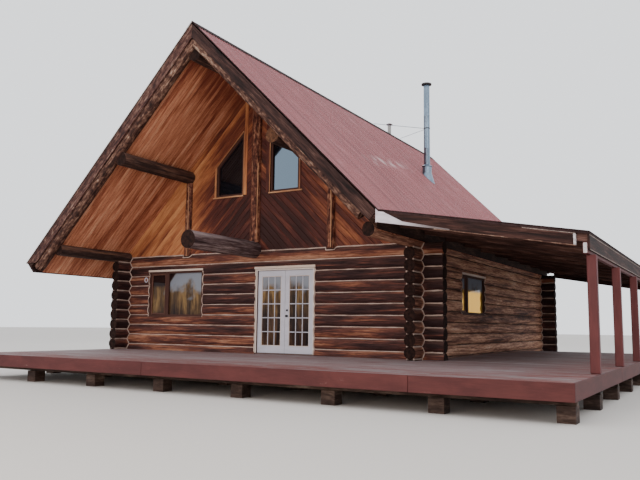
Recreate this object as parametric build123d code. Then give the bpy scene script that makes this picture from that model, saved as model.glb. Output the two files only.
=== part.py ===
from build123d import *
import math
import os

os.makedirs("parts", exist_ok=True)

# Log cabin with a steep metal roof, a deck and a lean-to porch. Millimetres, +Z up.
# The origin is on level ground under the middle of the front wall face.
# The front faces -Y, the porch is on the +X side.

# Log walls
house_width = 9180          # across the outer faces of the side-wall logs
house_length = 11070        # from the front wall face to the rear wall face
course = 267.5              # rise from one log to the next, and the logs' width across flats
courses = 10                # logs in the front and rear walls
log_sides = 12              # a peeled log has this many flats, one of them its bed
scribe_gap = 0.4            # left between logs that bed or notch on each other
log_end = 450               # log ends past the crossing wall
foundation_top = 438        # underside of the lowest logs
foundation_width = 400
foundation_proud = 30       # foundation face outside the log face

# Front door, a pair of glazed leaves
door_left = 110             # hinge side of the left leaf
door_width = 1630           # both leaves with the gap between them
leaf_height = 2030
leaf_thickness = 44
leaf_lift = 30              # leaf bottom above the deck
leaf_gap = 7                # between a leaf and what stands beside it
leaf_setback = 66           # leaf face behind the log face
stile_width = 118
top_rail = 140
bottom_rail = 175
glass_thickness = 16
jamb_thickness = 38
jamb_depth = 200
jamb_proud = 40             # jamb's outer edge in front of the leaves
hinge_radius = 8
hinge_length = 50           # of each of a hinge's two knuckles
hinge_inset = 150           # end hinges from the leaf's top and bottom
hinge_proud = 5             # hinge axis behind the leaf's inner face
hinge_play = 0.5
knob_radius = 27
knob_reach = 58
knob_height = 905           # above the leaf bottom
bolt_height = 1045

# Wall windows: place along the wall, width, sill and head above the deck, mullion centre
front_window_left = -3600
front_window_width = 1920
front_window_sill = 910
front_window_head = 2140
front_mullion = 655         # from the window's left side
side_window_start = 2560
side_window_width = 1850
side_window_sill = 1040
side_window_head = 2040
side_mullion = 455
plain_window_width = 1600   # on the left and rear walls
plain_window_sill = 1040
plain_window_head = 2040
left_window_start = 2560
rear_window_left = -800
frame_face = 55             # width of a window frame's bars
frame_depth = 110
frame_setback = 30          # frame face behind the wall face
gable_frame_setback = 10    # the same on the gables' boards
mullion_width = 120

# Gable walls
gable_setback = 40          # board face behind the log face
gable_thickness = 190
gable_window_inner = 430    # from the middle of the gable
gable_window_width = 875
gable_window_sill = 4060
gable_window_top = 5760     # of the taller, inner side
gable_post_width = 290
side_post_width = 220

# Roof
roof_pitch = 45
plate_seat = 15             # soffit above the plate logs' tops, over their axes
metal_thickness = 25
roof_thickness = 350        # square to the slope, metal to soffit
eave_overhang = 830         # from the log face to the eave tip
front_overhang = 2624
rear_overhang = 994
barge_thickness = 38
barge_depth = 285
fascia_thickness = 38
ridge_cap_width = 190
ridge_cap_thickness = 8
rafter_log = 260            # diameter of the log under each rake
rafter_drop = 445           # roof top to the rake log's underside, square to the slope
ridge_log_size = 350
purlin_size = 340
purlin_place = 2239         # from the ridge line
centre_beam_size = 420
centre_beam_height = 495    # its axis above the door frame's head
purlin_end_setback = 120    # purlin ends behind the rake
plate_end_setback = 220
centre_beam_tail = 400      # centre beam past the rear wall face

# Floors
deck_height = 550
floor_height = 20           # room floor above the deck
floor_clearance = 6
loft_thickness = 60

# Deck
deck_front = 4585           # from the front wall face to the deck's front edge
deck_left_margin = 10       # deck edge outside the left wall's face
deck_side_width = 3985      # from the right wall's face to the deck's edge
deck_rear_inset = 2620      # deck's rear edge before the rear wall's face
deck_board = 38
deck_fascia_depth = 249
joist_depth = 140
joist_width = 45
joist_spacing = 600
bearer_depth = 140
bearer_width = 120
pier_size = 250
pier_columns = 8
front_bearer_first = -4250
bearer_spacing = 1900
wall_clearance = 6          # deck edge to log wall

# Porch roof
porch_lap = 180             # main roof metal past the right wall's face
porch_ledge = 10            # main roof's thickness past the right wall's face
porch_inset = 75            # porch roof's edge before the deck's right edge
porch_slope = 0.17
porch_deck = 45             # boards and metal
porch_rafter_depth = 140
porch_rafter_width = 60
porch_rafter_count = 12
porch_fascia_depth = 265    # front board, from the roof's top
porch_fascia_stop = 215     # front board ends before the roof's edge
porch_rear_board_depth = 340
porch_edge_board_depth = 305
porch_beam_depth = 180
porch_beam_width = 75
post_size = 150
post_inset = 30             # posts' outer face before the deck's right edge
post_count = 5              # on the deck
ground_posts = 1            # behind the deck, at the same spacing
post_first = -2320
last_post_inset = 170       # from the deck's rear edge
flashing_lap = 50           # end flashing before the porch roof's start, over the barge board
flashing_crown = 110        # top edge's length past the porch roof's start
flashing_shoulder = 500     # where the plate has narrowed to its strip
flashing_strip = 62         # height of the strip there
flashing_length = 1400      # tip past the porch roof's start
flashing_tip = 22
flashing_drop = 250
flashing_thickness = 4

# Flue and vent
flue_x = 2200
flue_y = 6190
flue_radius = 100
flue_top = 8500             # above the deck
flue_cap_radius = 165
flue_cap_height = 70
collar_radius = 145
collar_height = 330
skirt_radius = 260
brace_radius = 8
brace_height = 7050         # on the pipe, above the deck
brace_feet = (6810, 8990)   # along the ridge
vent_x = -300
vent_y = 8700
vent_radius = 65
vent_height = 350
vent_cap_radius = 120

pitch = math.radians(roof_pitch)
half_width = house_width / 2
half_log = course / 2
side_line = half_width - half_log
front_line = half_log
rear_line = house_length - half_log
wall_top = foundation_top + courses * course
soffit_ridge = wall_top + half_log + plate_seat + side_line * math.tan(pitch)
ridge_top = soffit_ridge + roof_thickness / math.cos(pitch)
eave_length = (half_width + eave_overhang) / math.cos(pitch)
rake_front = -front_overhang
rake_rear = house_length + rear_overhang
deck_left = -half_width - deck_left_margin
deck_right = half_width + deck_side_width
deck_rear = house_length - deck_rear_inset
door_head = deck_height + leaf_lift + leaf_height + leaf_gap + jamb_thickness
top_hinge = leaf_height - hinge_inset - 2 * hinge_length
hinge_heights = (hinge_inset, (hinge_inset + top_hinge) / 2, top_hinge)
porch_start = half_width + porch_lap
porch_wall_line = half_width + porch_ledge
porch_edge = deck_right - porch_inset
far = 40000


def box(x0, x1, y0, y1, z0, z1):
    """A box between two corners."""
    size = Box(x1 - x0, y1 - y0, z1 - z0, align=(Align.MIN, Align.MIN, Align.MIN))
    return Pos(x0, y0, z0) * size


def across(points, y0, y1):
    """An outline of (x, z) points, extruded from y0 to y1."""
    start = Plane(origin=(0, y0, 0), x_dir=(1, 0, 0), z_dir=(0, -1, 0))
    outline = start * Polygon(*points, align=None)
    return extrude(outline, y1 - y0, dir=(0, 1, 0))


def flat_log(along, centre, start, end, size=course, extra=0.0):
    """A wall log: a bar with log_sides flats, one flat up, along X or Y.

    centre is the pair of its other two coordinates.
    """
    ring = RegularPolygon(
        size / 2 - scribe_gap / 2 + extra, log_sides,
        major_radius=False, rotation=180 / log_sides,
    )
    if along == "X":
        place = Plane(origin=(start, *centre), x_dir=(0, 1, 0), z_dir=(1, 0, 0))
    else:
        place = Plane(origin=(centre[0], start, centre[1]), x_dir=(1, 0, 0), z_dir=(0, 1, 0))
    return extrude(place * ring, end - start)


def round_log(along, centre, start, end, diameter, extra=0.0):
    """A round log along X or Y."""
    if along == "X":
        place = Plane(origin=(start, *centre), x_dir=(0, 1, 0), z_dir=(1, 0, 0))
    else:
        place = Plane(origin=(centre[0], start, centre[1]), x_dir=(1, 0, 0), z_dir=(0, 1, 0))
    return extrude(place * Circle(diameter / 2 + extra), end - start)


def front_centre(number):
    """Height of the axis of a front or rear wall log, counted from 0."""
    return foundation_top + (number + 0.5) * course


def side_centre(number):
    """Height of the axis of a side wall log: 0 is the half log, the last is the plate."""
    return foundation_top + number * course


def roof_z(x, depth=0.0):
    """Height at x of the plane that lies depth below the roof's top, square to it."""
    return ridge_top - abs(x) * math.tan(pitch) - depth / math.cos(pitch)


def on_slope(side, down, depth):
    """The (x, z) point that lies down the slope from the ridge and depth below its top."""
    x = down * math.cos(pitch) - depth * math.sin(pitch)
    z = ridge_top - down * math.sin(pitch) - depth * math.cos(pitch)
    return side * x, z


def slope_slab(side, depth0, depth1, down1, y0, y1):
    """A slab of one roof slope, mitred at the ridge and cut square at the eave."""
    points = [
        on_slope(side, depth0 * math.tan(pitch), depth0),
        on_slope(side, down1, depth0),
        on_slope(side, down1, depth1),
        on_slope(side, depth1 * math.tan(pitch), depth1),
    ]
    return across(points if side > 0 else points[::-1], y0, y1)


def porch_z(x, drop=0.0):
    """Height of the porch roof's top at x, less drop."""
    return roof_z(porch_start) - (x - porch_start) * porch_slope - drop


def save(name, *pieces):
    """Write one sub-part: each piece is a solid of its own."""
    solids = [solid for piece in pieces for solid in piece.solids()]
    part = Compound(children=solids) if len(solids) > 1 else solids[0]
    part.label = name
    export_step(part, f"parts/{name}.step")


def opening(lo, hi, sill, head):
    """A wall opening: its ends along the wall, and its sill and head above the deck."""
    return lo, hi, deck_height + sill, deck_height + head


door_hole = opening(
    door_left - leaf_gap - jamb_thickness - scribe_gap,
    door_left + door_width + leaf_gap + jamb_thickness + scribe_gap,
    -far, door_head - deck_height + scribe_gap,
)
front_hole = opening(
    front_window_left, front_window_left + front_window_width,
    front_window_sill, front_window_head,
)
right_hole = opening(
    side_window_start, side_window_start + side_window_width,
    side_window_sill, side_window_head,
)
left_hole = opening(
    left_window_start, left_window_start + plain_window_width,
    plain_window_sill, plain_window_head,
)
rear_hole = opening(
    rear_window_left, rear_window_left + plain_window_width,
    plain_window_sill, plain_window_head,
)

# The long roof logs, used as bodies and, with extra, as cutters.
ridge_log_z = roof_z(0, roof_thickness) - ridge_log_size / 2 / math.cos(pitch)
purlin_z = roof_z(purlin_place, roof_thickness) - purlin_size / 2 / math.cos(pitch)
beam_z = door_head + centre_beam_height
beam_top = beam_z + centre_beam_size / 2
purlin_front = rake_front + purlin_end_setback
purlin_rear = rake_rear - purlin_end_setback


def ridge_log(extra=0.0):
    return round_log("Y", (0, ridge_log_z), purlin_front, purlin_rear, ridge_log_size, extra)


def purlin(side, extra=0.0):
    centre = (side * purlin_place, purlin_z)
    return round_log("Y", centre, purlin_front, purlin_rear, purlin_size, extra)


def plate_log(side, extra=0.0):
    y0 = rake_front + plate_end_setback
    y1 = rake_rear - plate_end_setback
    return flat_log("Y", (side * side_line, side_centre(courses)), y0, y1, extra=extra)


def centre_beam(extra=0.0):
    y1 = house_length + centre_beam_tail
    return round_log("Y", (0, beam_z), purlin_front, y1, centre_beam_size, extra)


def above_roof_plane(depth):
    """Everything above the plane that lies depth below the roof's top, as a cutter."""
    top = [
        (-half_width - far, ridge_top + far),
        (-half_width - far, roof_z(half_width + far, depth)),
        (0, roof_z(0, depth)),
        (half_width + far, roof_z(half_width + far, depth)),
        (half_width + far, ridge_top + far),
    ]
    return across(top, rake_front - far, rake_rear + far)


above_soffit = above_roof_plane(roof_thickness + scribe_gap)


def cross_wall_log(number, wall_y, eaves):
    """A front or rear wall log, notched over the side-wall logs below it.

    eaves are the sides where the roof comes down over its end and trims it.
    """
    log = flat_log(
        "X", (wall_y, front_centre(number)),
        -half_width - log_end, half_width + log_end,
    )
    for side in eaves:
        x0, x1 = sorted((side * half_width, side * far))
        log -= above_soffit & box(x0, x1, wall_y - course, wall_y + course, 0, far)
    for side in (-1, 1):
        log -= flat_log(
            "Y", (side * side_line, side_centre(number)),
            wall_y - course, wall_y + course, extra=scribe_gap,
        )
    return log


def side_wall_log(number, side):
    """A side wall log, notched over the front and rear logs below it."""
    log = flat_log(
        "Y", (side * side_line, side_centre(number)),
        -log_end, house_length + log_end,
    )
    if number == 0:
        return log - box(-far, far, -far, far, -far, foundation_top + scribe_gap)
    for wall_y in (front_line, rear_line):
        log -= flat_log(
            "X", (wall_y, front_centre(number - 1)),
            side * side_line - course, side * side_line + course, extra=scribe_gap,
        )
    return log


def cut_holes(log, along, wall, holes):
    """Cut a wall's openings out of one of its logs."""
    for lo, hi, z0, z1 in holes:
        if along == "X":
            log -= box(lo, hi, wall - course, wall + course, z0, z1)
        else:
            log -= box(wall - course, wall + course, lo, hi, z0, z1)
    return log


def front_wall():
    """The front wall's logs, sorted into the pieces beside, under and over its openings."""
    groups = {"left": [], "sill": [], "middle": [], "right": [], "top": []}
    beam = centre_beam(scribe_gap)
    head = max(front_hole[3], door_hole[3])
    for number in range(courses):
        log = cross_wall_log(number, front_line, (-1,))
        log = cut_holes(log, "X", front_line, [front_hole, door_hole]) - beam
        for solid in log.solids():
            low, high = solid.bounding_box().min.X, solid.bounding_box().max.X
            if front_centre(number) + half_log > head:
                groups["top"].append(solid)
            elif low > door_left:
                groups["right"].append(solid)
            elif high < front_window_left + 1:
                groups["left"].append(solid)
            elif low > front_window_left + 1:
                groups["middle"].append(solid)
            else:
                groups["sill"].append(solid)
    for name, solids in groups.items():
        save(f"front_wall_{name}", *solids)


def rear_wall():
    logs = []
    beam = centre_beam(scribe_gap)
    for number in range(courses):
        log = cross_wall_log(number, rear_line, (-1, 1))
        logs.append(cut_holes(log, "X", rear_line, [rear_hole]) - beam)
    save("rear_wall", *logs)


def right_wall():
    """The porch-side wall, sorted into the pieces round its window."""
    groups = {"front": [], "sill": [], "rear": [], "top": []}
    for number in range(courses):
        log = cut_holes(side_wall_log(number, 1), "Y", side_line, [right_hole])
        for solid in log.solids():
            low, high = solid.bounding_box().min.Y, solid.bounding_box().max.Y
            if high < side_window_start + 1:
                groups["front"].append(solid)
            elif low > side_window_start + 1:
                groups["rear"].append(solid)
            elif solid.center().Z < right_hole[2]:
                groups["sill"].append(solid)
            else:
                groups["top"].append(solid)
    for name, solids in groups.items():
        save(f"right_wall_{name}", *solids)


def left_wall():
    logs = [
        cut_holes(side_wall_log(number, -1), "Y", -side_line, [left_hole])
        for number in range(courses)
    ]
    save("left_wall", *logs)


def plates():
    """The top side logs, carried out to the rakes and planed to the roof's slope."""
    for side, name in ((-1, "left"), (1, "right")):
        log = plate_log(side) - above_roof_plane(roof_thickness + scribe_gap)
        for wall_y in (front_line, rear_line):
            log -= flat_log(
                "X", (wall_y, front_centre(courses - 1)),
                side * side_line - course, side * side_line + course, extra=scribe_gap,
            )
        save(f"plate_log_{name}", log)


def foundation():
    """Four walls on the ground that carry the lowest logs and the floor's edge."""
    x1 = half_width + foundation_proud
    x0 = x1 - foundation_width
    y0, y1 = -foundation_proud, house_length + foundation_proud
    inner0, inner1 = y0 + foundation_width, y1 - foundation_width
    save(
        "foundation",
        box(-x1, x1, y0, inner0, 0, foundation_top),
        box(-x1, x1, inner1, y1, 0, foundation_top),
        box(-x1, -x0, inner0 + scribe_gap, inner1 - scribe_gap, 0, foundation_top),
        box(x0, x1, inner0 + scribe_gap, inner1 - scribe_gap, 0, foundation_top),
    )


def floors():
    """The room floor and the loft floor, both inside the log walls."""
    top = deck_height + floor_height
    inside = half_width - course - floor_clearance
    y0, y1 = course + floor_clearance, house_length - course - floor_clearance
    save("floor", box(-inside, inside, y0, y1, foundation_top + scribe_gap, top))
    loft_z = beam_top + scribe_gap
    loft = box(-inside, inside, y0, y1, loft_z, loft_z + loft_thickness)
    save("loft_floor", loft - above_roof_plane(roof_thickness + scribe_gap))


def gable_window(side, inset=0.0):
    """A gable window's (x, z) outline: its top is parallel to the roof."""
    inner = gable_window_inner + inset
    outer = gable_window_inner + gable_window_width - inset
    top = gable_window_top - inset * (1 / math.cos(pitch) + math.tan(pitch))
    fall = (outer - inner) * math.tan(pitch)
    points = [
        (side * inner, deck_height + gable_window_sill + inset),
        (side * outer, deck_height + gable_window_sill + inset),
        (side * outer, deck_height + top - fall),
        (side * inner, deck_height + top),
    ]
    return points if side > 0 else points[::-1]


def gable(y0):
    """A gable wall between the roof slopes, cut for its windows and the roof logs."""
    reach = half_width
    outline = [
        (-reach, wall_top + scribe_gap),
        (reach, wall_top + scribe_gap),
        (reach, roof_z(reach, roof_thickness + scribe_gap)),
        (0, roof_z(0, roof_thickness + scribe_gap)),
        (-reach, roof_z(reach, roof_thickness + scribe_gap)),
    ]
    wall = across(outline, y0, y0 + gable_thickness)
    wall -= ridge_log(scribe_gap)
    wall -= centre_beam(scribe_gap)
    for side in (-1, 1):
        wall -= purlin(side, scribe_gap)
        wall -= plate_log(side, scribe_gap)
        wall -= across(gable_window(side), y0 - course, y0 + gable_thickness + course)
    return wall.solids().sort_by(SortBy.VOLUME)[-1]


def gables():
    save("gable_front", gable(gable_setback))
    save("gable_rear", gable(house_length - gable_setback - gable_thickness))


def half_post(x, width, z0, z1, y, outward):
    """A half-round post on a gable's board face, flat side to the boards."""
    place = Plane(origin=(x, y, z0), x_dir=(1, 0, 0), z_dir=(0, 0, 1))
    post = extrude(place * Circle(width / 2), z1 - z0)
    keep = box(x - width, x + width, min(y, y + outward * width), max(y, y + outward * width), z0, z1)
    return post & keep


def gable_posts():
    """Half-round posts under the ridge log and the purlins, on both gables."""
    posts = []
    for outward, face in ((-1, gable_setback), (1, house_length - gable_setback)):
        y = face + outward * scribe_gap
        foot = max(beam_top, wall_top) + scribe_gap
        ridge_bottom = ridge_log_z - ridge_log_size / 2 - scribe_gap
        posts.append(half_post(0, gable_post_width, foot, ridge_bottom, y, outward))
        for side in (-1, 1):
            top = purlin_z - purlin_size / 2 - scribe_gap
            foot = wall_top + scribe_gap
            posts.append(half_post(side * purlin_place, side_post_width, foot, top, y, outward))
    save("gable_posts", *posts)


def roof_logs():
    save("ridge_log", ridge_log())
    save("centre_beam", centre_beam())
    for side, name in ((-1, "left"), (1, "right")):
        save(f"purlin_{name}", purlin(side))


def below_porch():
    """Room under the end flashing's level, where the rake's pieces stop, as a cutter."""
    level = porch_z(porch_start, flashing_drop)
    return box(half_width - log_end, far, -far, far, -far, level)


def rake_log(side, y, end):
    """The log under one rake, notched over the ridge log, the purlin and the plate."""
    depth = rafter_drop - rafter_log / 2
    x, z = on_slope(side, 0, depth)
    down = (side * math.cos(pitch), 0, -math.sin(pitch))
    place = Plane(origin=(x, y, z), x_dir=(0, 1, 0), z_dir=down)
    log = extrude(place * Circle(rafter_log / 2), end)
    log &= box(*((scribe_gap / 2, far) if side > 0 else (-far, -scribe_gap / 2)), -far, far, 0, far)
    log -= ridge_log(scribe_gap)
    log -= purlin(side, scribe_gap)
    log -= plate_log(side, scribe_gap)
    if side > 0:
        log -= below_porch()
    return log.solids().sort_by(SortBy.VOLUME)[-1]


rake_log_setback = barge_thickness + scribe_gap + rafter_log / 2
verge_width = barge_thickness + rafter_log + 2 * scribe_gap
rake_log_top = rafter_drop - rafter_log - scribe_gap


def rake_logs():
    eave_end = eave_length - rafter_log / 2
    porch_end = porch_wall_line / math.cos(pitch)
    for name, y in (("front", rake_front + rake_log_setback), ("rear", rake_rear - rake_log_setback)):
        save(f"rake_logs_{name}", rake_log(-1, y, eave_end), rake_log(1, y, porch_end))


def flue_hole(extra=0.0):
    hole = Cylinder(flue_radius + extra, far, align=(Align.CENTER, Align.CENTER, Align.CENTER))
    return Pos(flue_x, flue_y, 0) * hole


def vent_hole(extra=0.0):
    hole = Cylinder(vent_radius + extra, far, align=(Align.CENTER, Align.CENTER, Align.CENTER))
    return Pos(vent_x, vent_y, 0) * hole


def roof():
    """The two thick slopes, their metal, the ridge cap and the edge boards."""
    y0, y1 = rake_front + barge_thickness, rake_rear - barge_thickness
    slab_end = eave_length - fascia_thickness - scribe_gap
    for side, name in ((-1, "left"), (1, "right")):
        slab = slope_slab(side, metal_thickness, roof_thickness, slab_end, y0, y1)
        for start, end in ((y0 - course, rake_front + verge_width), (rake_rear - verge_width, y1 + course)):
            depth = roof_thickness + course
            slab -= slope_slab(side, rake_log_top, depth, eave_length + course, start, end)
        metal = slope_slab(side, 0, metal_thickness, eave_length, rake_front, rake_rear)
        if side > 0:
            slab -= box(porch_wall_line, far, -far, far, -far, far)
            metal -= box(porch_start, far, -far, far, -far, far)
            slab -= flue_hole(scribe_gap)
            metal -= flue_hole(scribe_gap)
        else:
            slab -= vent_hole(scribe_gap)
            metal -= vent_hole(scribe_gap)
        save(f"roof_{name}", slab.solids().sort_by(SortBy.VOLUME)[-1])
        save(f"roof_metal_{name}", metal.solids().sort_by(SortBy.VOLUME)[-1])


def ridge_cap():
    top = -ridge_cap_thickness
    outline = [
        on_slope(-1, ridge_cap_width, 0), on_slope(-1, 0, 0), on_slope(1, ridge_cap_width, 0),
        on_slope(1, ridge_cap_width, top), (0, ridge_top + ridge_cap_thickness / math.cos(pitch)),
        on_slope(-1, ridge_cap_width, top),
    ]
    save("ridge_cap", across(outline, rake_front, rake_rear))


def barge(side, y0):
    """A barge board, its end cut level with the eave tip or where the porch roof starts."""
    tip_z = ridge_top - eave_length * math.sin(pitch)
    level = (ridge_top - tip_z - barge_depth * math.cos(pitch)) / math.sin(pitch)
    points = [
        on_slope(side, metal_thickness * math.tan(pitch), metal_thickness),
        on_slope(side, eave_length - metal_thickness * math.cos(pitch), metal_thickness),
        on_slope(side, level, barge_depth),
        on_slope(side, barge_depth * math.tan(pitch), barge_depth),
    ]
    board = across(points if side > 0 else points[::-1], y0, y0 + barge_thickness)
    if side < 0:
        return board & box(-far, -scribe_gap / 2, -far, far, 0, far)
    return (board & box(scribe_gap / 2, porch_start, -far, far, 0, far)) - below_porch()


def roof_edges():
    """The barge boards along the rakes, and the fascia along the left eave."""
    starts = (rake_front, rake_rear - barge_thickness)
    save("barge_boards", *[barge(side, y0) for y0 in starts for side in (-1, 1)])
    y0, y1 = rake_front + barge_thickness + scribe_gap, rake_rear - barge_thickness - scribe_gap
    points = [
        on_slope(-1, eave_length - fascia_thickness, roof_thickness),
        on_slope(-1, eave_length, roof_thickness),
        on_slope(-1, eave_length, metal_thickness + scribe_gap),
        on_slope(-1, eave_length - fascia_thickness, metal_thickness + scribe_gap),
    ]
    save("eave_fascia", across(points, y0, y1))


def porch():
    """The lean-to roof on the porch side, with its rafters, beam, posts and edge boards."""
    front, rear = rake_front + fascia_thickness, rake_rear - fascia_thickness
    edge = porch_edge - fascia_thickness
    start = porch_start + scribe_gap
    skin = [
        (start, porch_z(start, porch_deck)), (porch_edge, porch_z(porch_edge, porch_deck)),
        (porch_edge, porch_z(porch_edge)), (start, porch_z(start)),
    ]
    save("porch_roof", across(skin, rake_front, rake_rear))

    wall = porch_wall_line + scribe_gap
    inner_edge = edge - scribe_gap
    top, bottom = porch_deck + scribe_gap, porch_deck + porch_rafter_depth
    outline = [
        (wall, porch_z(wall, bottom)), (inner_edge, porch_z(inner_edge, bottom)),
        (inner_edge, porch_z(inner_edge, top)), (wall, porch_z(wall, top)),
    ]
    first, last = front + scribe_gap, rear - porch_rafter_width - scribe_gap
    step = (last - first) / (porch_rafter_count - 1)
    rafters = []
    for number in range(porch_rafter_count):
        y = first + number * step
        rafters.append(across(outline, y, y + porch_rafter_width))
    save("porch_rafters", *rafters)

    beam_upper = porch_z(inner_edge, bottom) - scribe_gap
    beam_lower = beam_upper - porch_beam_depth
    beam_x0 = inner_edge - porch_beam_width
    save("porch_beam", box(beam_x0, inner_edge, rake_front, rear - scribe_gap, beam_lower, beam_upper))
    post_x1 = deck_right - post_inset
    post_spacing = (deck_rear - last_post_inset - post_first) / (post_count - 1)
    posts = []
    for number in range(post_count + ground_posts):
        y = post_first + number * post_spacing
        foot = deck_height if number < post_count else 0
        posts.append(box(post_x1 - post_size, post_x1, y - post_size / 2, y + post_size / 2,
                         foot, beam_lower - scribe_gap))
    save("porch_posts", *posts)

    drop = porch_deck + scribe_gap

    def board(x1, depth, y0, y1):
        points = [
            (start, porch_z(start, depth)), (x1, porch_z(x1, depth)),
            (x1, porch_z(x1, drop)), (start, porch_z(start, drop)),
        ]
        return across(points, y0, y1)

    edge_top = porch_z(porch_edge, drop)
    save(
        "porch_fascia",
        board(porch_edge - porch_fascia_stop, porch_fascia_depth, rake_front, front),
        board(porch_edge, porch_rear_board_depth, rear, rake_rear),
        box(edge, porch_edge, rake_front, rear - scribe_gap,
            porch_z(porch_edge, porch_edge_board_depth), edge_top),
    )

    face = rake_front - scribe_gap
    x0, crown, shoulder = start - flashing_lap, start + flashing_crown, start + flashing_shoulder
    tip = start + flashing_length
    plate = [
        (x0, porch_z(start, flashing_drop)), (start, porch_z(start, flashing_drop)),
        (tip, porch_z(tip, flashing_drop)), (tip, porch_z(tip, flashing_drop - flashing_tip)),
        (shoulder, porch_z(shoulder, flashing_drop - flashing_strip)), (crown, porch_z(crown, drop)),
        (start, porch_z(start, drop)), (x0, roof_z(x0, metal_thickness + scribe_gap)),
    ]
    save("porch_flashing", across(plate, face - flashing_thickness, face))


def corner_spaces():
    """Room round the corner log ends that cross the deck."""
    clear = wall_clearance
    spaces = []
    for side in (-1, 1):
        x0, x1 = sorted((side * (half_width - course - clear), side * (half_width + clear)))
        spaces.append(box(x0, x1, -log_end - clear, course, foundation_top - clear, far))
        x0, x1 = sorted((side * half_width, side * (half_width + log_end + clear)))
        spaces.append(box(x0, x1, -clear, course + clear, foundation_top - clear, far))
    return spaces


def deck():
    """Boards on joists, bearers and piers, with an edge board all round."""
    board_z = deck_height - deck_board
    y_front = -deck_front + fascia_thickness + scribe_gap
    y_rear = deck_rear - fascia_thickness - scribe_gap
    x_left = deck_left + fascia_thickness + scribe_gap
    x_right = deck_right - fascia_thickness - scribe_gap
    x_wall = half_width + wall_clearance
    x_footing = half_width + foundation_proud + wall_clearance
    y_footing = -foundation_proud - wall_clearance
    front_slab = box(x_left, x_right, y_front, -wall_clearance, board_z, deck_height)
    side_slab = box(x_wall, x_right, -wall_clearance + scribe_gap, y_rear, board_z, deck_height)
    spaces = corner_spaces()
    for space in spaces:
        front_slab -= space
        side_slab -= space
    save("deck_front", front_slab)
    save("deck_side", side_slab)

    joist_top = board_z - scribe_gap
    joist_z = joist_top - joist_depth
    joists = []
    x = x_left
    while x + joist_width < x_right:
        y_end = y_rear if x > x_footing else y_footing
        joists.append(box(x, x + joist_width, y_front, y_end, joist_z, joist_top))
        x += joist_spacing
    joists.append(box(x_right - joist_width, x_right, y_front, y_rear, joist_z, joist_top))
    for space in spaces:
        joists = [joist - space for joist in joists]
    save("deck_joists", *joists)

    bearer_top = joist_z - scribe_gap
    bearer_z = bearer_top - bearer_depth
    bearers, piers = [], []
    inset = pier_size / 2
    pier_step = (x_right - x_left - pier_size) / (pier_columns - 1)
    columns = [x_left + inset + number * pier_step for number in range(pier_columns)]
    y = front_bearer_first
    while y + inset < y_rear:
        x0 = x_left if y < 0 else x_footing
        bearers.append(box(x0, x_right, y - bearer_width / 2, y + bearer_width / 2, bearer_z, bearer_top))
        for x in columns:
            if x - inset > x0 - 1:
                piers.append(box(x - inset, x + inset, y - inset, y + inset, 0, bearer_z - scribe_gap))
        y += bearer_spacing
    save("deck_bearers", *bearers)
    save("deck_piers", *piers)

    z0 = deck_height - deck_fascia_depth
    y_corner = -log_end - 2 * wall_clearance
    save(
        "deck_fascia",
        box(deck_left, deck_right, -deck_front, -deck_front + fascia_thickness, z0, deck_height),
        box(deck_right - fascia_thickness, deck_right, y_front, y_rear, z0, deck_height),
        box(deck_left, deck_left + fascia_thickness, y_front, y_corner, z0, deck_height),
        box(x_footing, deck_right, deck_rear - fascia_thickness, deck_rear, z0, deck_height),
    )


def knuckles(x, y, z0, upper, extra=0.0):
    """The lower or upper knuckles of one leaf's hinges; extra makes them cutters."""
    barrels = []
    for height in hinge_heights:
        z = z0 + height + (hinge_length if upper else 0)
        z1 = z + hinge_length - (0 if upper else scribe_gap)
        barrel = Cylinder(hinge_radius + extra, z1 - z + 2 * extra,
                          align=(Align.CENTER, Align.CENTER, Align.MIN))
        barrels.append(Pos(x, y, z - extra) * barrel)
    return barrels


def door_leaf(x0, y0, z0):
    """One leaf with its glass opening, and its glass."""
    width = (door_width - leaf_gap) / 2
    leaf = box(x0, x0 + width, y0, y0 + leaf_thickness, z0, z0 + leaf_height)
    gx0, gx1 = x0 + stile_width, x0 + width - stile_width
    gz0, gz1 = z0 + bottom_rail, z0 + leaf_height - top_rail
    leaf -= box(gx0, gx1, y0 - 1, y0 + leaf_thickness + 1, gz0, gz1)
    middle = y0 + leaf_thickness / 2
    half = glass_thickness / 2
    glass = box(gx0 + scribe_gap, gx1 - scribe_gap, middle - half, middle + half,
                gz0 + scribe_gap, gz1 - scribe_gap)
    return leaf, glass


def turned(profile, x, y, z, direction):
    """A turned piece: a profile of (radius, reach) points about a line along Y."""
    points = [(0, profile[0][1]), *profile, (0, profile[-1][1])]
    place = Plane(origin=(x, y, z), x_dir=(1, 0, 0), z_dir=(0, 0, 1))
    face = place * Polygon(*[(radius, direction * reach) for radius, reach in points], align=None)
    return revolve(face, Axis((x, y, z), (0, 1, 0)))


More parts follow.
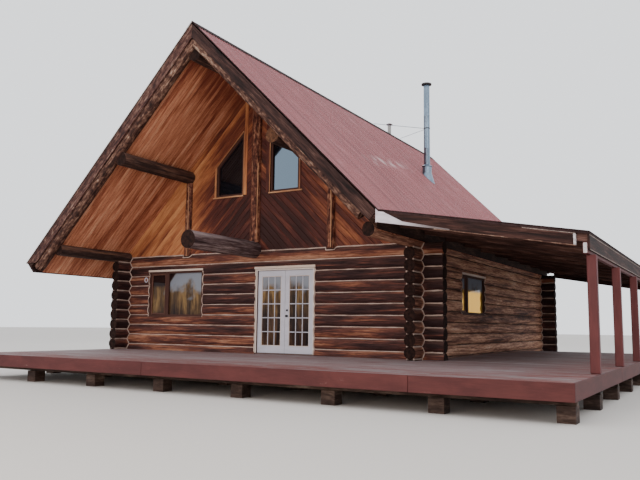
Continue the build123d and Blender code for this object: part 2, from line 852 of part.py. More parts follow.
def front_door():
    z0 = deck_height + leaf_lift
    y0 = leaf_setback
    width = (door_width - leaf_gap) / 2
    x_right = door_left + width + leaf_gap
    hinge_y = y0 + leaf_thickness + hinge_proud
    hinges = []
    for name, x0 in (("left", door_left), ("right", x_right)):
        leaf, glass = door_leaf(x0, y0, z0)
        hinge_x = door_left - leaf_gap / 2 if name == "left" else door_left + door_width + leaf_gap / 2
        hinges.append(hinge_x)
        for barrel in knuckles(hinge_x, hinge_y, z0, False, hinge_play):
            leaf -= barrel
        for barrel in knuckles(hinge_x, hinge_y, z0, True):
            leaf += barrel
        save(f"door_{name}", leaf)
        save(f"door_glass_{name}", glass)

    knob_profile = [
        (knob_radius * 1.15, 0.3), (knob_radius * 1.15, 7), (knob_radius * 0.42, 9),
        (knob_radius * 0.42, knob_reach * 0.5), (knob_radius * 0.9, knob_reach * 0.62),
        (knob_radius, knob_reach * 0.8), (knob_radius * 0.75, knob_reach),
    ]
    bolt_profile = [(knob_radius, 0.3), (knob_radius, 9), (knob_radius * 0.7, 16)]
    x = x_right + stile_width / 2
    handles = []
    for face, direction in ((y0, -1), (y0 + leaf_thickness, 1)):
        handles.append(turned(knob_profile, x, face, z0 + knob_height, direction))
        handles.append(turned(bolt_profile, x, face, z0 + bolt_height, direction))
    save("door_handle", *handles)

    lo, hi = door_left - leaf_gap, door_left + door_width + leaf_gap
    head = z0 + leaf_height + leaf_gap
    frame_y0 = y0 - jamb_proud
    frame_y1 = frame_y0 + jamb_depth
    x0, x1 = lo - jamb_thickness, hi + jamb_thickness
    frame = box(x0, x1, frame_y0, frame_y1, deck_height, head + jamb_thickness)
    frame -= box(lo, hi, frame_y0 - 1, frame_y1 + 1, z0 - leaf_gap, head)
    for hinge_x in hinges:
        for barrel in knuckles(hinge_x, hinge_y, z0, True, hinge_play):
            frame -= barrel
        for barrel in knuckles(hinge_x, hinge_y, z0, False):
            frame += barrel
    save("door_frame", frame)


def window_frame(along, wall_face, inward, lo, hi, z0, z1, mullion):
    """A frame with one mullion and its two panes, in a wall that faces away from inward."""
    g = scribe_gap
    face = wall_face + inward * frame_setback
    back = face + inward * frame_depth
    glass_y = (face + back) / 2
    d0, d1 = sorted((face, back))

    def bar(a0, a1, b0, b1, c0=d0, c1=d1):
        return box(a0, a1, c0, c1, b0, b1) if along == "X" else box(c0, c1, a0, a1, b0, b1)

    frame = bar(lo + g, hi - g, z0 + g, z1 - g)
    inner0, inner1 = z0 + frame_face, z1 - frame_face
    middle = lo + mullion
    panes = [(lo + frame_face, middle - mullion_width / 2), (middle + mullion_width / 2, hi - frame_face)]
    glass = []
    for a0, a1 in panes:
        frame -= bar(a0, a1, inner0, inner1, d0 - 1, d1 + 1)
        glass.append(bar(a0 + g, a1 - g, inner0 + g, inner1 - g,
                         glass_y - glass_thickness / 2, glass_y + glass_thickness / 2))
    return frame, glass


def windows():
    frames, panes = [], []
    walls = [
        ("X", 0, 1, front_hole, front_mullion),
        ("X", house_length, -1, rear_hole, plain_window_width / 2),
        ("Y", half_width, -1, right_hole, side_mullion),
        ("Y", -half_width, 1, left_hole, plain_window_width / 2),
    ]
    for along, face, inward, hole, mullion in walls:
        frame, glass = window_frame(along, face, inward, *hole, mullion)
        frames.append(frame)
        panes += glass
    for face, inward in ((gable_setback, 1), (house_length - gable_setback, -1)):
        outer = face + inward * gable_frame_setback
        y0, y1 = sorted((outer, outer + inward * frame_depth))
        middle = (y0 + y1) / 2
        for side in (-1, 1):
            frame = across(gable_window(side, scribe_gap), y0, y1)
            frame -= across(gable_window(side, frame_face), y0 - 1, y1 + 1)
            frames.append(frame)
            panes.append(across(gable_window(side, frame_face + scribe_gap),
                                middle - glass_thickness / 2, middle + glass_thickness / 2))
    save("window_frames", *frames)
    save("window_glass", *panes)


def flue():
    """The stove flue: pipe through the roof, flashing with its collar, cap and braces."""
    pipe_top = deck_height + flue_top
    pipe = flue_hole() - box(-far, far, -far, far, pipe_top, 2 * far)
    save("flue_pipe", pipe & above_roof_plane(roof_thickness - scribe_gap))

    base = roof_z(flue_x)
    inner = flue_radius + scribe_gap
    profile = [
        (inner, base - skirt_radius - 20), (skirt_radius, base - skirt_radius - 20),
        (collar_radius, base + collar_height * 0.35), (collar_radius, base + collar_height),
        (collar_radius + 22, base + collar_height), (collar_radius + 22, base + collar_height + 14),
        (inner, base + collar_height + 60),
    ]
    place = Plane(origin=(flue_x, flue_y, 0), x_dir=(1, 0, 0), z_dir=(0, -1, 0))
    collar = revolve(place * Polygon(*profile, align=None), Axis((flue_x, flue_y, 0), (0, 0, 1)))
    reach = 3 * skirt_radius
    x0, x1 = flue_x - reach, flue_x + reach
    z0, z1, bottom = roof_z(x0) + scribe_gap, roof_z(x1) + scribe_gap, roof_z(x1) - 3 * reach
    below = across([(x0, z0), (x1, z1), (x1, bottom), (x0, bottom)], flue_y - reach, flue_y + reach)
    collar -= below
    save("flue_flashing", collar)

    cap_z = pipe_top + scribe_gap
    cap = [
        (0, cap_z), (flue_cap_radius, cap_z), (flue_cap_radius, cap_z + flue_cap_height * 0.6),
        (flue_cap_radius * 0.5, cap_z + flue_cap_height), (0, cap_z + flue_cap_height),
    ]
    save("flue_cap", revolve(place * Polygon(*cap, align=None), Axis((flue_x, flue_y, 0), (0, 0, 1))))

    braces = []
    cap_top = ridge_top + ridge_cap_thickness / math.cos(pitch)
    for foot_y in brace_feet:
        foot = Vector(0, foot_y, cap_top + 2 * brace_radius)
        head = Vector(flue_x, flue_y, deck_height + brace_height)
        run = head - foot
        rod = extrude(Plane(origin=foot, z_dir=run) * Circle(brace_radius), run.length)
        braces.append(rod - flue_hole(scribe_gap))
    save("flue_braces", *braces)


def vent():
    """A plumbing vent just behind the ridge."""
    bottom = roof_z(vent_x - vent_radius, roof_thickness)
    top = roof_z(vent_x) + vent_height
    profile = [
        (0, bottom), (vent_radius, bottom), (vent_radius, top - 60), (vent_cap_radius, top - 60),
        (vent_cap_radius, top - 20), (vent_radius, top), (0, top),
    ]
    place = Plane(origin=(vent_x, vent_y, 0), x_dir=(1, 0, 0), z_dir=(0, -1, 0))
    save("roof_vent", revolve(place * Polygon(*profile, align=None), Axis((vent_x, vent_y, 0), (0, 0, 1))))


foundation()
floors()
front_wall()
rear_wall()
left_wall()
right_wall()
plates()
gables()
gable_posts()
roof_logs()
rake_logs()
roof()
ridge_cap()
roof_edges()
porch()
deck()
front_door()
windows()
flue()
vent()
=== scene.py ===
import bpy
import numpy as np
from math import cos, pi, radians, sin, sqrt, tan
from mathutils import Euler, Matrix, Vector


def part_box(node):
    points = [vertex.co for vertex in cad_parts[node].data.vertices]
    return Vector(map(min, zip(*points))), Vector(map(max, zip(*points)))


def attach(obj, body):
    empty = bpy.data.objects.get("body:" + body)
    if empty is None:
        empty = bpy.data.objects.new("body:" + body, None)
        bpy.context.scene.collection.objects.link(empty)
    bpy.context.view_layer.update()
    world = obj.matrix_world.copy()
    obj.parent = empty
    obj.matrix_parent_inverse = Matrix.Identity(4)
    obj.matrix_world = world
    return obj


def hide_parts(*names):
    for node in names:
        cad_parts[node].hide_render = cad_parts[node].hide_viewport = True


# Log cabin: the looks. Metres, +Z up, the front faces -Y, the porch is on +X.

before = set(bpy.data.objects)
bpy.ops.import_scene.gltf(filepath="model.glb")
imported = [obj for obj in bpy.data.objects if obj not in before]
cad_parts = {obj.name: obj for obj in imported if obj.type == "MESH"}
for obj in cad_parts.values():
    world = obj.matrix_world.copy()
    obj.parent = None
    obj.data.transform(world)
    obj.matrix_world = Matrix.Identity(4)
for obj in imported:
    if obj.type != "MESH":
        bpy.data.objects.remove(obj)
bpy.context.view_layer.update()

# Places read from the frame
house = {
    "base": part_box("foundation")[1].z,            # underside of the lowest logs
    "side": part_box("right_wall_sill")[1].x,       # outer face of the side walls
    "logEnd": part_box("front_wall_top")[1].x,      # where the cross logs end
    "crossing": 0.45,                             # log ends past the crossing wall
    "course": 0.2675,                             # rise from one log to the next
    "courses": 10,
    "ridge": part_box("roof_metal_left")[1].z,
    "eave": -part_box("roof_metal_left")[0].x,
    "rakeFront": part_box("roof_metal_left")[0].y,
    "rakeRear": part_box("roof_metal_left")[1].y,
    "pitch": radians(45),
    "roofDepth": 0.35,                            # metal to soffit, square to the slope
    "metalDepth": 0.025,
    "deckTop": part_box("deck_front")[1].z,
    "porchStart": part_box("porch_roof")[0].x,
    "porchEdge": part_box("porch_roof")[1].x,
}
house["length"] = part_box("right_wall_top")[1].y - house["crossing"]
house["half"] = house["course"] / 2
house["sideLine"] = house["side"] - house["half"]
house["wallTop"] = house["base"] + house["courses"] * house["course"]
house["soffitRidge"] = house["ridge"] - house["roofDepth"] / cos(house["pitch"])
house["eaveRun"] = house["eave"] / cos(house["pitch"])

doorHole = (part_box("door_frame")[0].x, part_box("door_frame")[1].x, 0.0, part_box("door_frame")[1].z)


def holeAt(start, width, sill, head):
    # a wall opening: its ends along the wall, its sill and head above the deck
    return start, start + width, house["deckTop"] + sill, house["deckTop"] + head


windowHoles = {
    "front": holeAt(-3.6, 1.92, 0.91, 2.14),
    "right": holeAt(2.56, 1.85, 1.04, 2.04),
    "left": holeAt(2.56, 1.6, 1.04, 2.04),
    "rear": holeAt(-0.8, 1.6, 1.04, 2.04),
}


# Meshes from grids


def dice(seed):
    return np.random.default_rng(seed)


def patch(points, grain, tone=0.5, caps="flat", finish=0, capFinish=None):
    # a closed grid: each row is a ring of points, and the ends are closed by caps
    return {
        "points": np.asarray(points, float), "grain": np.asarray(grain, float), "tone": tone,
        "caps": caps, "finish": finish, "capFinish": finish if capFinish is None else capFinish,
    }


def patchFaces(part, start):
    # quads between neighbouring rings, then a flat face or a fan of triangles at each end
    rows, cols = part["points"].shape[:2]
    j = np.arange(cols)
    k = (j + 1) % cols
    first, last = 0, rows - 1
    if part["caps"] == "pole":
        first, last = 1, rows - 2
    i = np.arange(first, last)[:, None] * cols
    quads = np.stack([i + j, i + k, i + cols + k, i + cols + j], -1).reshape(-1, 4)
    if part["caps"] == "pole":
        low = np.stack([np.zeros(cols, int), cols + k, cols + j], -1)
        high = np.stack([np.full(cols, (rows - 1) * cols), last * cols + j, last * cols + k], -1)
        ends = [low, high]
    else:
        ends = [j[::-1][None, :], (j + last * cols)[None, :]]
    faces = [quads, *ends]
    finish = [part["finish"], part["capFinish"], part["capFinish"]]
    if part["caps"] == "pole" and part["capFinish"] != part["finish"]:
        band = (np.arange(len(quads)) // cols)
        capRows = part["capRows"]
        isCap = (band < capRows) | (band >= last - first - capRows)
        faces = [quads[~isCap], quads[isCap], *ends]
        finish = [part["finish"]] + [part["capFinish"]] * 3
    flat = part["points"].reshape(-1, 3)
    a, b, c, d = (flat[quads[:, n]] for n in range(4))
    middle = flat.mean(0)
    volume = np.einsum("ij,ij->i", np.cross(a - middle, b - middle), c - middle).sum()
    volume += np.einsum("ij,ij->i", np.cross(a - middle, c - middle), d - middle).sum()
    if volume < 0:
        faces = [corners[:, ::-1] for corners in faces]
    return [corners + start for corners in faces], finish


def makePiece(name, parts, materials, body="house", replaces=(), smooth=35):
    # joins patches into one mesh with its grain and tone, and puts it on its body
    start, points, grain, tone = 0, [], [], []
    loops, sizes, finishes = [], [], []
    for part in parts:
        faces, finish = patchFaces(part, start)
        count = part["points"].shape[0] * part["points"].shape[1]
        shades = np.broadcast_to(part["tone"], part["points"].shape[:2])
        points.append(part["points"].reshape(-1, 3))
        grain.append(part["grain"].reshape(-1, 3))
        tone.append(shades.ravel())
        for corners, index in zip(faces, finish):
            loops.append(corners.ravel())
            sizes.append(np.full(len(corners), corners.shape[1]))
            finishes.append(np.full(len(corners), index))
        start += count
    points, loops, sizes = np.concatenate(points), np.concatenate(loops), np.concatenate(sizes)
    used = np.zeros(len(points), bool)
    used[loops] = True                          # a pole's ring is one point
    number = np.cumsum(used) - 1
    mesh = bpy.data.meshes.new(name)
    mesh.vertices.add(int(used.sum()))
    mesh.vertices.foreach_set("co", points[used].astype(np.float32).ravel())
    mesh.loops.add(len(loops))
    mesh.loops.foreach_set("vertex_index", number[loops].astype(np.int32))
    mesh.polygons.add(len(sizes))
    mesh.polygons.foreach_set("loop_start", (np.cumsum(sizes) - sizes).astype(np.int32))
    mesh.polygons.foreach_set("material_index", np.concatenate(finishes).astype(np.int32))
    mesh.update(calc_edges=True)
    place = mesh.attributes.new("grain", "FLOAT_VECTOR", "POINT")
    place.data.foreach_set("vector", np.concatenate(grain)[used].astype(np.float32).ravel())
    shade = mesh.attributes.new("tone", "FLOAT", "POINT")
    shade.data.foreach_set("value", np.concatenate(tone)[used].astype(np.float32))
    mesh.polygons.foreach_set("use_smooth", np.ones(len(sizes), bool))
    mesh.set_sharp_from_angle(angle=radians(smooth))
    for material in materials:
        mesh.materials.append(material)
    piece = bpy.data.objects.new(name, mesh)
    bpy.context.scene.collection.objects.link(piece)
    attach(piece, body)
    if replaces:
        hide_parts(*replaces)
    return piece


def ripple(along, around, roll, waves=6, longest=2.2):
    # a smooth uneven surface: sines of falling length along a log, some turning round it
    total = np.zeros(np.broadcast(along, around).shape)
    for number in range(waves):
        length = longest / (1 + number * 0.9)
        turns = roll.integers(0, 4)
        phase = 2 * pi * along / length + turns * around + roll.uniform(0, 2 * pi)
        total += np.sin(phase) / (1 + 0.6 * number)
    return total / 2.5


def box(low, high, tone=0.5, bevel=0.004, along=0, finish=0, offset=0.0):
    # a sawn piece: a ring with its four edges eased, carried along one axis
    low, high = np.minimum(low, high), np.maximum(low, high)
    others = [n for n in range(3) if n != along]
    (a0, a1), (b0, b1) = [(low[n], high[n]) for n in others]
    e = min(bevel, (a1 - a0) / 3, (b1 - b0) / 3)
    ring = np.array([
        (a0 + e, b0), (a1 - e, b0), (a1, b0 + e), (a1, b1 - e),
        (a1 - e, b1), (a0 + e, b1), (a0, b1 - e), (a0, b0 + e),
    ])
    e = min(e, (high[along] - low[along]) / 3)
    middle = ring.mean(0)
    inner = middle + (ring - middle) * (1 - 2 * e / np.array([a1 - a0, b1 - b0]))
    stations = [(low[along], inner), (low[along] + e, ring), (high[along] - e, ring), (high[along], inner)]
    points = np.zeros((4, 8, 3))
    for row, (place, shape) in enumerate(stations):
        points[row, :, along] = place
        points[row, :, others] = shape.T
    grain = np.stack([points[..., along], points[..., others[0]], points[..., others[1]]], -1)
    return patch(points, grain + np.array([offset, offset * 0.37, offset * 0.61]), tone, finish=finish)


# Materials


def newMaterial(name):
    material = bpy.data.materials.new(name)
    material.use_nodes = True
    tree = material.node_tree
    return material, tree, tree.nodes["Principled BSDF"]


def addNode(tree, kind, inputs=None, **settings):
    node = tree.nodes.new(kind)
    for key, value in settings.items():
        setattr(node, key, value)
    for key, value in (inputs or {}).items():
        socket = node.inputs[key]
        if isinstance(value, bpy.types.NodeSocket):
            tree.links.new(value, socket)
        else:
            socket.default_value = value
    return node


def colour(value):
    return (*value, 1.0)


def ramp(tree, factor, stops):
    node = addNode(tree, "ShaderNodeValToRGB", {"Fac": factor})
    elements = node.color_ramp.elements
    elements[0].position, elements[0].color = stops[0][0], colour(stops[0][1])
    elements[1].position, elements[1].color = stops[1][0], colour(stops[1][1])
    for place, tint in stops[2:]:
        elements.new(place).color = colour(tint)
    return node.outputs["Color"]


def greyRamp(tree, factor, low, high):
    node = addNode(tree, "ShaderNodeMapRange", {"Value": factor, "From Min": low, "From Max": high})
    node.interpolation_type = "SMOOTHSTEP"
    return node.outputs["Result"]


def mixColour(tree, factor, first, second, mode="MIX"):
    node = tree.nodes.new("ShaderNodeMix")
    node.data_type, node.blend_type = "RGBA", mode
    for socket, value in ((node.inputs[0], factor), (node.inputs[6], first), (node.inputs[7], second)):
        if isinstance(value, bpy.types.NodeSocket):
            tree.links.new(value, socket)
        else:
            socket.default_value = colour(value) if isinstance(value, tuple) else value
    return node.outputs[2]


def maths(tree, operation, *values):
    node = addNode(tree, "ShaderNodeMath", operation=operation)
    for socket, value in zip(node.inputs, values):
        if isinstance(value, bpy.types.NodeSocket):
            tree.links.new(value, socket)
        else:
            socket.default_value = value
    return node.outputs[0]


def noise(tree, vector, scale, detail=4.0, roughness=0.55, distortion=0.0, stretch=(1, 1, 1)):
    mapped = addNode(tree, "ShaderNodeMapping", {"Vector": vector, "Scale": stretch})
    node = addNode(tree, "ShaderNodeTexNoise", {
        "Vector": mapped.outputs[0], "Scale": scale, "Detail": detail,
        "Roughness": roughness, "Distortion": distortion,
    })
    return node.outputs["Fac"]


def grainOf(tree):
    return addNode(tree, "ShaderNodeAttribute", attribute_name="grain").outputs["Vector"]


def toneOf(tree):
    return addNode(tree, "ShaderNodeAttribute", attribute_name="tone").outputs["Fac"]


def objectSpace(tree):
    return addNode(tree, "ShaderNodeTexCoord").outputs["Object"]


def axesOf(tree, vector):
    return addNode(tree, "ShaderNodeSeparateXYZ", {"Vector": vector}).outputs


def normalOf(tree):
    return axesOf(tree, addNode(tree, "ShaderNodeNewGeometry").outputs["Normal"])


def product(tree, first, second):
    return maths(tree, "MULTIPLY", first, second)


def stained(tree, base, tint, mask, low, high, amount):
    # lays up to amount of tint over base as mask goes from low to high
    return mixColour(tree, product(tree, greyRamp(tree, mask, low, high), amount), base, tint)


def fibred(tree, base, fibres, low, high, dark):
    # darkens base where the fibres are low
    light = mixColour(tree, greyRamp(tree, fibres, low, high), dark, (1.0, 1.0, 1.0))
    return mixColour(tree, 1.0, base, light, "MULTIPLY")


def bumped(tree, shader, height, strength, distance):
    node = addNode(tree, "ShaderNodeBump", {"Height": height, "Strength": strength, "Distance": distance})
    tree.links.new(node.outputs[0], shader.inputs["Normal"])


def coated(tree, shader, base, roughness, gloss=0.5, metallic=0.0):
    tree.links.new(base, shader.inputs["Base Color"])
    shader.inputs["Roughness"].default_value = roughness
    shader.inputs["Specular IOR Level"].default_value = gloss
    shader.inputs["Metallic"].default_value = metallic


def woodMaterial(name, look):
    # broad patches and fine fibres, both stretched along the grain, over a dark to pale ramp
    material, tree, shader = newMaterial(name)
    grain = grainOf(tree) if look.get("grain", True) else objectSpace(tree)
    patches = noise(tree, grain, look["patchScale"], 5, 0.6, 0.3, look["patchStretch"])
    fibres = noise(tree, grain, look["fibreScale"], 5, 0.65, 0.0, look["fibreStretch"])
    streaks = noise(tree, grain, look["fibreScale"] * 0.3, 3, 0.5, 0.6, look["fibreStretch"])
    mixed = maths(tree, "MULTIPLY_ADD", streaks, look["streak"], patches)
    mixed = maths(tree, "MULTIPLY_ADD", toneOf(tree), look["toneSpread"], mixed)
    mixed = maths(tree, "SUBTRACT", mixed, 0.5 * (look["streak"] + look["toneSpread"]))
    base = fibred(tree, ramp(tree, mixed, look["stops"]), fibres, 0.32, 0.68, look["fibreDark"])
    if "weather" in look:
        facing = greyRamp(tree, normalOf(tree)["Z"], *look["weatherRange"])
        upper = product(tree, facing, look["weatherAmount"])
        base = stained(tree, base, look["weather"], patches, 0.35, 0.6, upper)
    coated(tree, shader, base, look["roughness"], 0.14)
    bumped(tree, shader, maths(tree, "MULTIPLY_ADD", patches, 0.6, fibres), look["bump"], 0.006)
    return material


def endGrainMaterial(name, dark, pale):
    # growth rings about the log's axis, broken by noise, over a soft stain
    material, tree, shader = newMaterial(name)
    grain = grainOf(tree)
    axes = axesOf(tree, grain)
    across = addNode(tree, "ShaderNodeCombineXYZ", {"X": 0.0, "Y": axes["Y"], "Z": axes["Z"]}).outputs[0]
    radius = addNode(tree, "ShaderNodeVectorMath", {0: across}, operation="LENGTH").outputs["Value"]
    uneven = noise(tree, grain, 9.0, 3)
    rings = maths(tree, "SINE", maths(tree, "MULTIPLY_ADD", uneven, 4.0, product(tree, radius, 420.0)))
    level = maths(tree, "MULTIPLY_ADD", rings, 0.12, noise(tree, grain, 14.0, 4))
    coated(tree, shader, ramp(tree, level, [(0.3, dark), (0.75, pale)]), 0.85, 0.1)
    bumped(tree, shader, level, 0.5, 0.004)
    return material


def paintMaterial(name, look):
    # brushed paint: a slow change of tint, scuffs that bare what is under it, and faint fibres
    material, tree, shader = newMaterial(name)
    place = grainOf(tree) if look.get("grain", True) else objectSpace(tree)
    slow = noise(tree, place, look.get("slowScale", 1.3), 4, 0.6, 0.4, (1, 3, 3))
    fibres = noise(tree, place, 30.0, 4, 0.6, 0.0, (0.15, 3, 3))
    stretch = look.get("scuffStretch", (0.6, 3, 3))
    scuffs = noise(tree, place, look.get("scuffScale", 5.0), 6, 0.7, 0.5, stretch)
    bare = greyRamp(tree, scuffs, look["scuffFrom"], look["scuffFrom"] + 0.06)
    base = mixColour(tree, greyRamp(tree, slow, 0.3, 0.7), look["shade"], look["tint"])
    base = mixColour(tree, bare, base, look["under"])
    # greyer away from the open edges under the porch roof: paint worn bare where walked, and the grey cast of
    # shade painted in
    if "walkedAndShaded" in look:
        axes = axesOf(tree, objectSpace(tree))
        across = greyRamp(tree, axes["X"], *look["walkedShadeX"])
        inner = product(tree, across, greyRamp(tree, axes["Y"], *look["walkedShadeY"]))
        base = stained(tree, base, look["walkedAndShaded"], scuffs, 0.25, 0.60, product(tree, inner, 0.8))
    base = fibred(tree, base, fibres, 0.2, 0.75, look.get("fine", (0.8, 0.8, 0.8)))
    coated(tree, shader, base, look["roughness"], look.get("gloss", 0.2))
    bumped(tree, shader, maths(tree, "MULTIPLY_ADD", bare, -0.5, fibres), look["bump"], 0.003)
    return material


def roofMetalMaterial(name, look):
    # faded enamel on steel: dust and painted rib shadow in the pans, fine dark lines down the slope as
    # painted rib shadow, chalky patches, run-down streaks, specks and one slanted rubbed patch
    material, tree, shader = newMaterial(name)
    place = grainOf(tree)
    axes = axesOf(tree, place)
    streaks = noise(tree, place, 2.2, 5, 0.6, 0.2, (0.25, 3.5, 1))
    chalk = noise(tree, place, 0.9, 5, 0.65, 0.5)
    base = mixColour(tree, greyRamp(tree, streaks, 0.32, 0.7), look["shade"], look["tint"])
    for tint, mask, low, high, amount in (
        # darker below the rib tops: dust and painted rib shadow
        ("dirt", axes["Z"], 0.001, 0.008, 0.72),
        ("chalk", chalk, 0.52, 0.72, 0.34),
        # fine dark lines down the slope: painted rib shadow
        ("dirt", noise(tree, place, 9.0, 2, 0.8, 0.0, (0.012, 1.0, 0.0)), 0.51, 0.58, 0.46),
        ("dirt", noise(tree, place, 60.0, 3), 0.6, 0.8, 0.25),
    ):
        base = stained(tree, base, look[tint], mask, low, high, amount)
    along = maths(tree, "SUBTRACT", axes["Y"], look["rubbedPlace"][1])
    across = maths(tree, "SUBTRACT", axes["X"], look["rubbedPlace"][0])
    across = maths(tree, "MULTIPLY_ADD", along, look["rubbedSlant"], across)
    rubbed = product(tree, greyRamp(tree, maths(tree, "ABSOLUTE", along), *look["rubbedLength"]),
                     greyRamp(tree, maths(tree, "ABSOLUTE", across), *look["rubbedWidth"]))
    rubbed = product(tree, rubbed, 0.6)
    base = stained(tree, base, look["rubbed"], noise(tree, place, 1.6, 4), 0.42, 0.62, rubbed)
    coated(tree, shader, base, 0.5)
    shader.inputs["Coat Weight"].default_value = 0.12
    shader.inputs["Coat Roughness"].default_value = 0.35
    bumped(tree, shader, chalk, 0.08, 0.01)
    return material


def metalMaterial(name, tint, shade, roughness, metallic=1.0, gloss=0.5):
    # spangled or dull metal with soft stains
    material, tree, shader = newMaterial(name)
    place = objectSpace(tree)
    stain = noise(tree, place, 6.0, 5, 0.6, 0.4, (1, 1, 0.4))
    cells = addNode(tree, "ShaderNodeTexVoronoi", {"Vector": place, "Scale": 42.0}).outputs["Color"]
    spangle = addNode(tree, "ShaderNodeSeparateColor", {"Color": cells}).outputs["Red"]
    level = maths(tree, "MULTIPLY_ADD", spangle, 0.25, product(tree, stain, 0.9))
    coated(tree, shader, ramp(tree, level, [(0.3, shade), (0.75, tint)]), roughness, gloss, metallic)
    bumped(tree, shader, stain, 0.1, 0.004)
    return material


def glassMaterial(name, look):
    # panes over dim rooms, with painted reflections: a pale band high up as painted sky reflection over gold
    # brown and dark brown upright streaks as painted tree reflections, with a slanted painted shadow in one
    # corner; a painted gold reflection low on the porch side, and near black in the loft as its painted dark
    # room
    material, tree, shader = newMaterial(name)
    place = objectSpace(tree)
    axes = axesOf(tree, place)
    height = axes["Z"]
    streaks = noise(tree, place, 5.0, 4, 0.6, 0.3, (1.6, 1.6, 0.22))
    uneven = maths(tree, "SUBTRACT", noise(tree, place, 1.7, 3, 0.6, 0.2), 0.5)
    level = maths(tree, "MULTIPLY_ADD", uneven, 1.1, height)
    # the line of the painted shadow in one corner leans with height
    slant = maths(tree, "MULTIPLY_ADD", height, look["shadowSlant"], axes["X"])
    clear = greyRamp(tree, slant, *look["shadowLine"])
    beside = greyRamp(tree, axes["X"], *look["porchFrom"])
    porch = product(tree, beside, greyRamp(tree, height, *look["porchBelow"]))
    loft = greyRamp(tree, height, *look["loftFrom"])
    # painted tree reflections, then the painted shadow, the painted sky reflection, the painted dark loft and
    # the painted gold reflection by the porch
    base = mixColour(tree, greyRamp(tree, level, *look["goldFrom"]), ramp(tree, streaks, look["brown"]),
                     ramp(tree, streaks, look["gold"]))
    base = stained(tree, base, look["shade"], height, *look["shadeFrom"], maths(tree, "SUBTRACT", 1.0, clear))
    base = stained(tree, base, look["sky"], level, *look["skyReflectionFrom"], clear)
    base = mixColour(tree, loft, base, look["loft"])
    base = mixColour(tree, porch, base, look["porch"])
    # the real reflections tinted warm, gold on the porch side and blue in the loft: painted reflection colour
    mirrored = mixColour(tree, porch, look["mirror"], look["porchMirror"])
    mirrored = mixColour(tree, loft, mirrored, look["loftMirror"])
    coated(tree, shader, base, 0.04)
    tree.links.new(product(tree, porch, 0.6), shader.inputs["Metallic"])
    tree.links.new(maths(tree, "MULTIPLY_ADD", loft, 0.64, 1.22), shader.inputs["IOR"])
    tree.links.new(mirrored, shader.inputs["Specular Tint"])
    bumped(tree, shader, noise(tree, place, 1.6, 2), 0.02, 0.01)
    return material


def stoneMaterial(name, tint, shade):
    # cast concrete: soft stains and dark pores
    material, tree, shader = newMaterial(name)
    place = objectSpace(tree)
    stain = noise(tree, place, 1.5, 6, 0.65, 0.4, (1, 1, 2.5))
    pores = noise(tree, place, 55.0, 3)
    base = mixColour(tree, greyRamp(tree, stain, 0.3, 0.7), shade, tint)
    base = stained(tree, base, tuple(0.6 * c for c in shade), pores, 0.58, 0.75, 0.5)
    coated(tree, shader, base, 0.92)
    bumped(tree, shader, maths(tree, "MULTIPLY_ADD", pores, 0.5, stain), 0.4, 0.01)
    return material


def jambMaterial(name):
    # pale paint on the outer and inner faces, brown on the sides and on the sill
    material, tree, shader = newMaterial(name)
    place = objectSpace(tree)
    fibres = noise(tree, place, 9.0, 5, 0.6, 0.2, (3, 3, 0.4))
    brown = mixColour(tree, fibres, (0.045, 0.020, 0.015), (0.11, 0.055, 0.040))
    pale = mixColour(tree, fibres, (0.50, 0.42, 0.38), (0.66, 0.58, 0.54))
    facing = greyRamp(tree, maths(tree, "ABSOLUTE", normalOf(tree)["Y"]), 0.5, 0.6)
    sill = house["deckTop"] + 0.025
    front = product(tree, facing, greyRamp(tree, axesOf(tree, place)["Z"], sill, sill + 0.005))
    coated(tree, shader, mixColour(tree, front, brown, pale), 0.6)
    bumped(tree, shader, fibres, 0.1, 0.003)
    return material


def flashingMaterial(name, darkerFrom):
    # bright sheet by the rake, darker towards its narrow end
    material, tree, shader = newMaterial(name)
    place = objectSpace(tree)
    stain = noise(tree, place, 5.0, 5, 0.6, 0.4, (0.6, 1, 2.0))
    along = maths(tree, "MULTIPLY_ADD", stain, 0.7, axesOf(tree, place)["X"])
    base = ramp(tree, stain, [(0.3, (0.38, 0.335, 0.37)), (0.7, (0.62, 0.565, 0.615))])
    coated(tree, shader, stained(tree, base, (0.055, 0.032, 0.028), along, *darkerFrom, 0.9), 0.6)
    return material


logLook = {
    "patchScale": 1.0, "patchStretch": (0.55, 7.5, 7.5), "fibreScale": 9.0, "fibreStretch": (0.5, 9, 9),
    "streak": 0.55, "toneSpread": 0.22, "fibreDark": (0.42, 0.36, 0.34), "roughness": 0.72, "bump": 0.5,
    "stops": [
        (0.30, (0.026, 0.012, 0.013)), (0.47, (0.060, 0.025, 0.023)),
        (0.58, (0.138, 0.047, 0.034)), (0.68, (0.27, 0.105, 0.060)), (0.80, (0.42, 0.22, 0.14)),
    ],
    "weather": (0.20, 0.12, 0.10), "weatherRange": (0.25, 0.9), "weatherAmount": 0.45,
}
darkLogLook = dict(logLook, toneSpread=0.1, stops=[
    (0.32, (0.022, 0.013, 0.012)), (0.50, (0.050, 0.030, 0.027)),
    (0.62, (0.115, 0.062, 0.048)), (0.74, (0.20, 0.105, 0.065)), (0.85, (0.30, 0.21, 0.16)),
], weatherAmount=0.35)
beamLook = dict(logLook, toneSpread=0.1, patchScale=1.7, stops=[
    (0.30, (0.042, 0.025, 0.026)), (0.46, (0.105, 0.068, 0.070)),
    (0.58, (0.20, 0.145, 0.145)), (0.70, (0.35, 0.27, 0.262)), (0.82, (0.52, 0.42, 0.40)),
], weather=(0.33, 0.26, 0.26), weatherAmount=0.65)
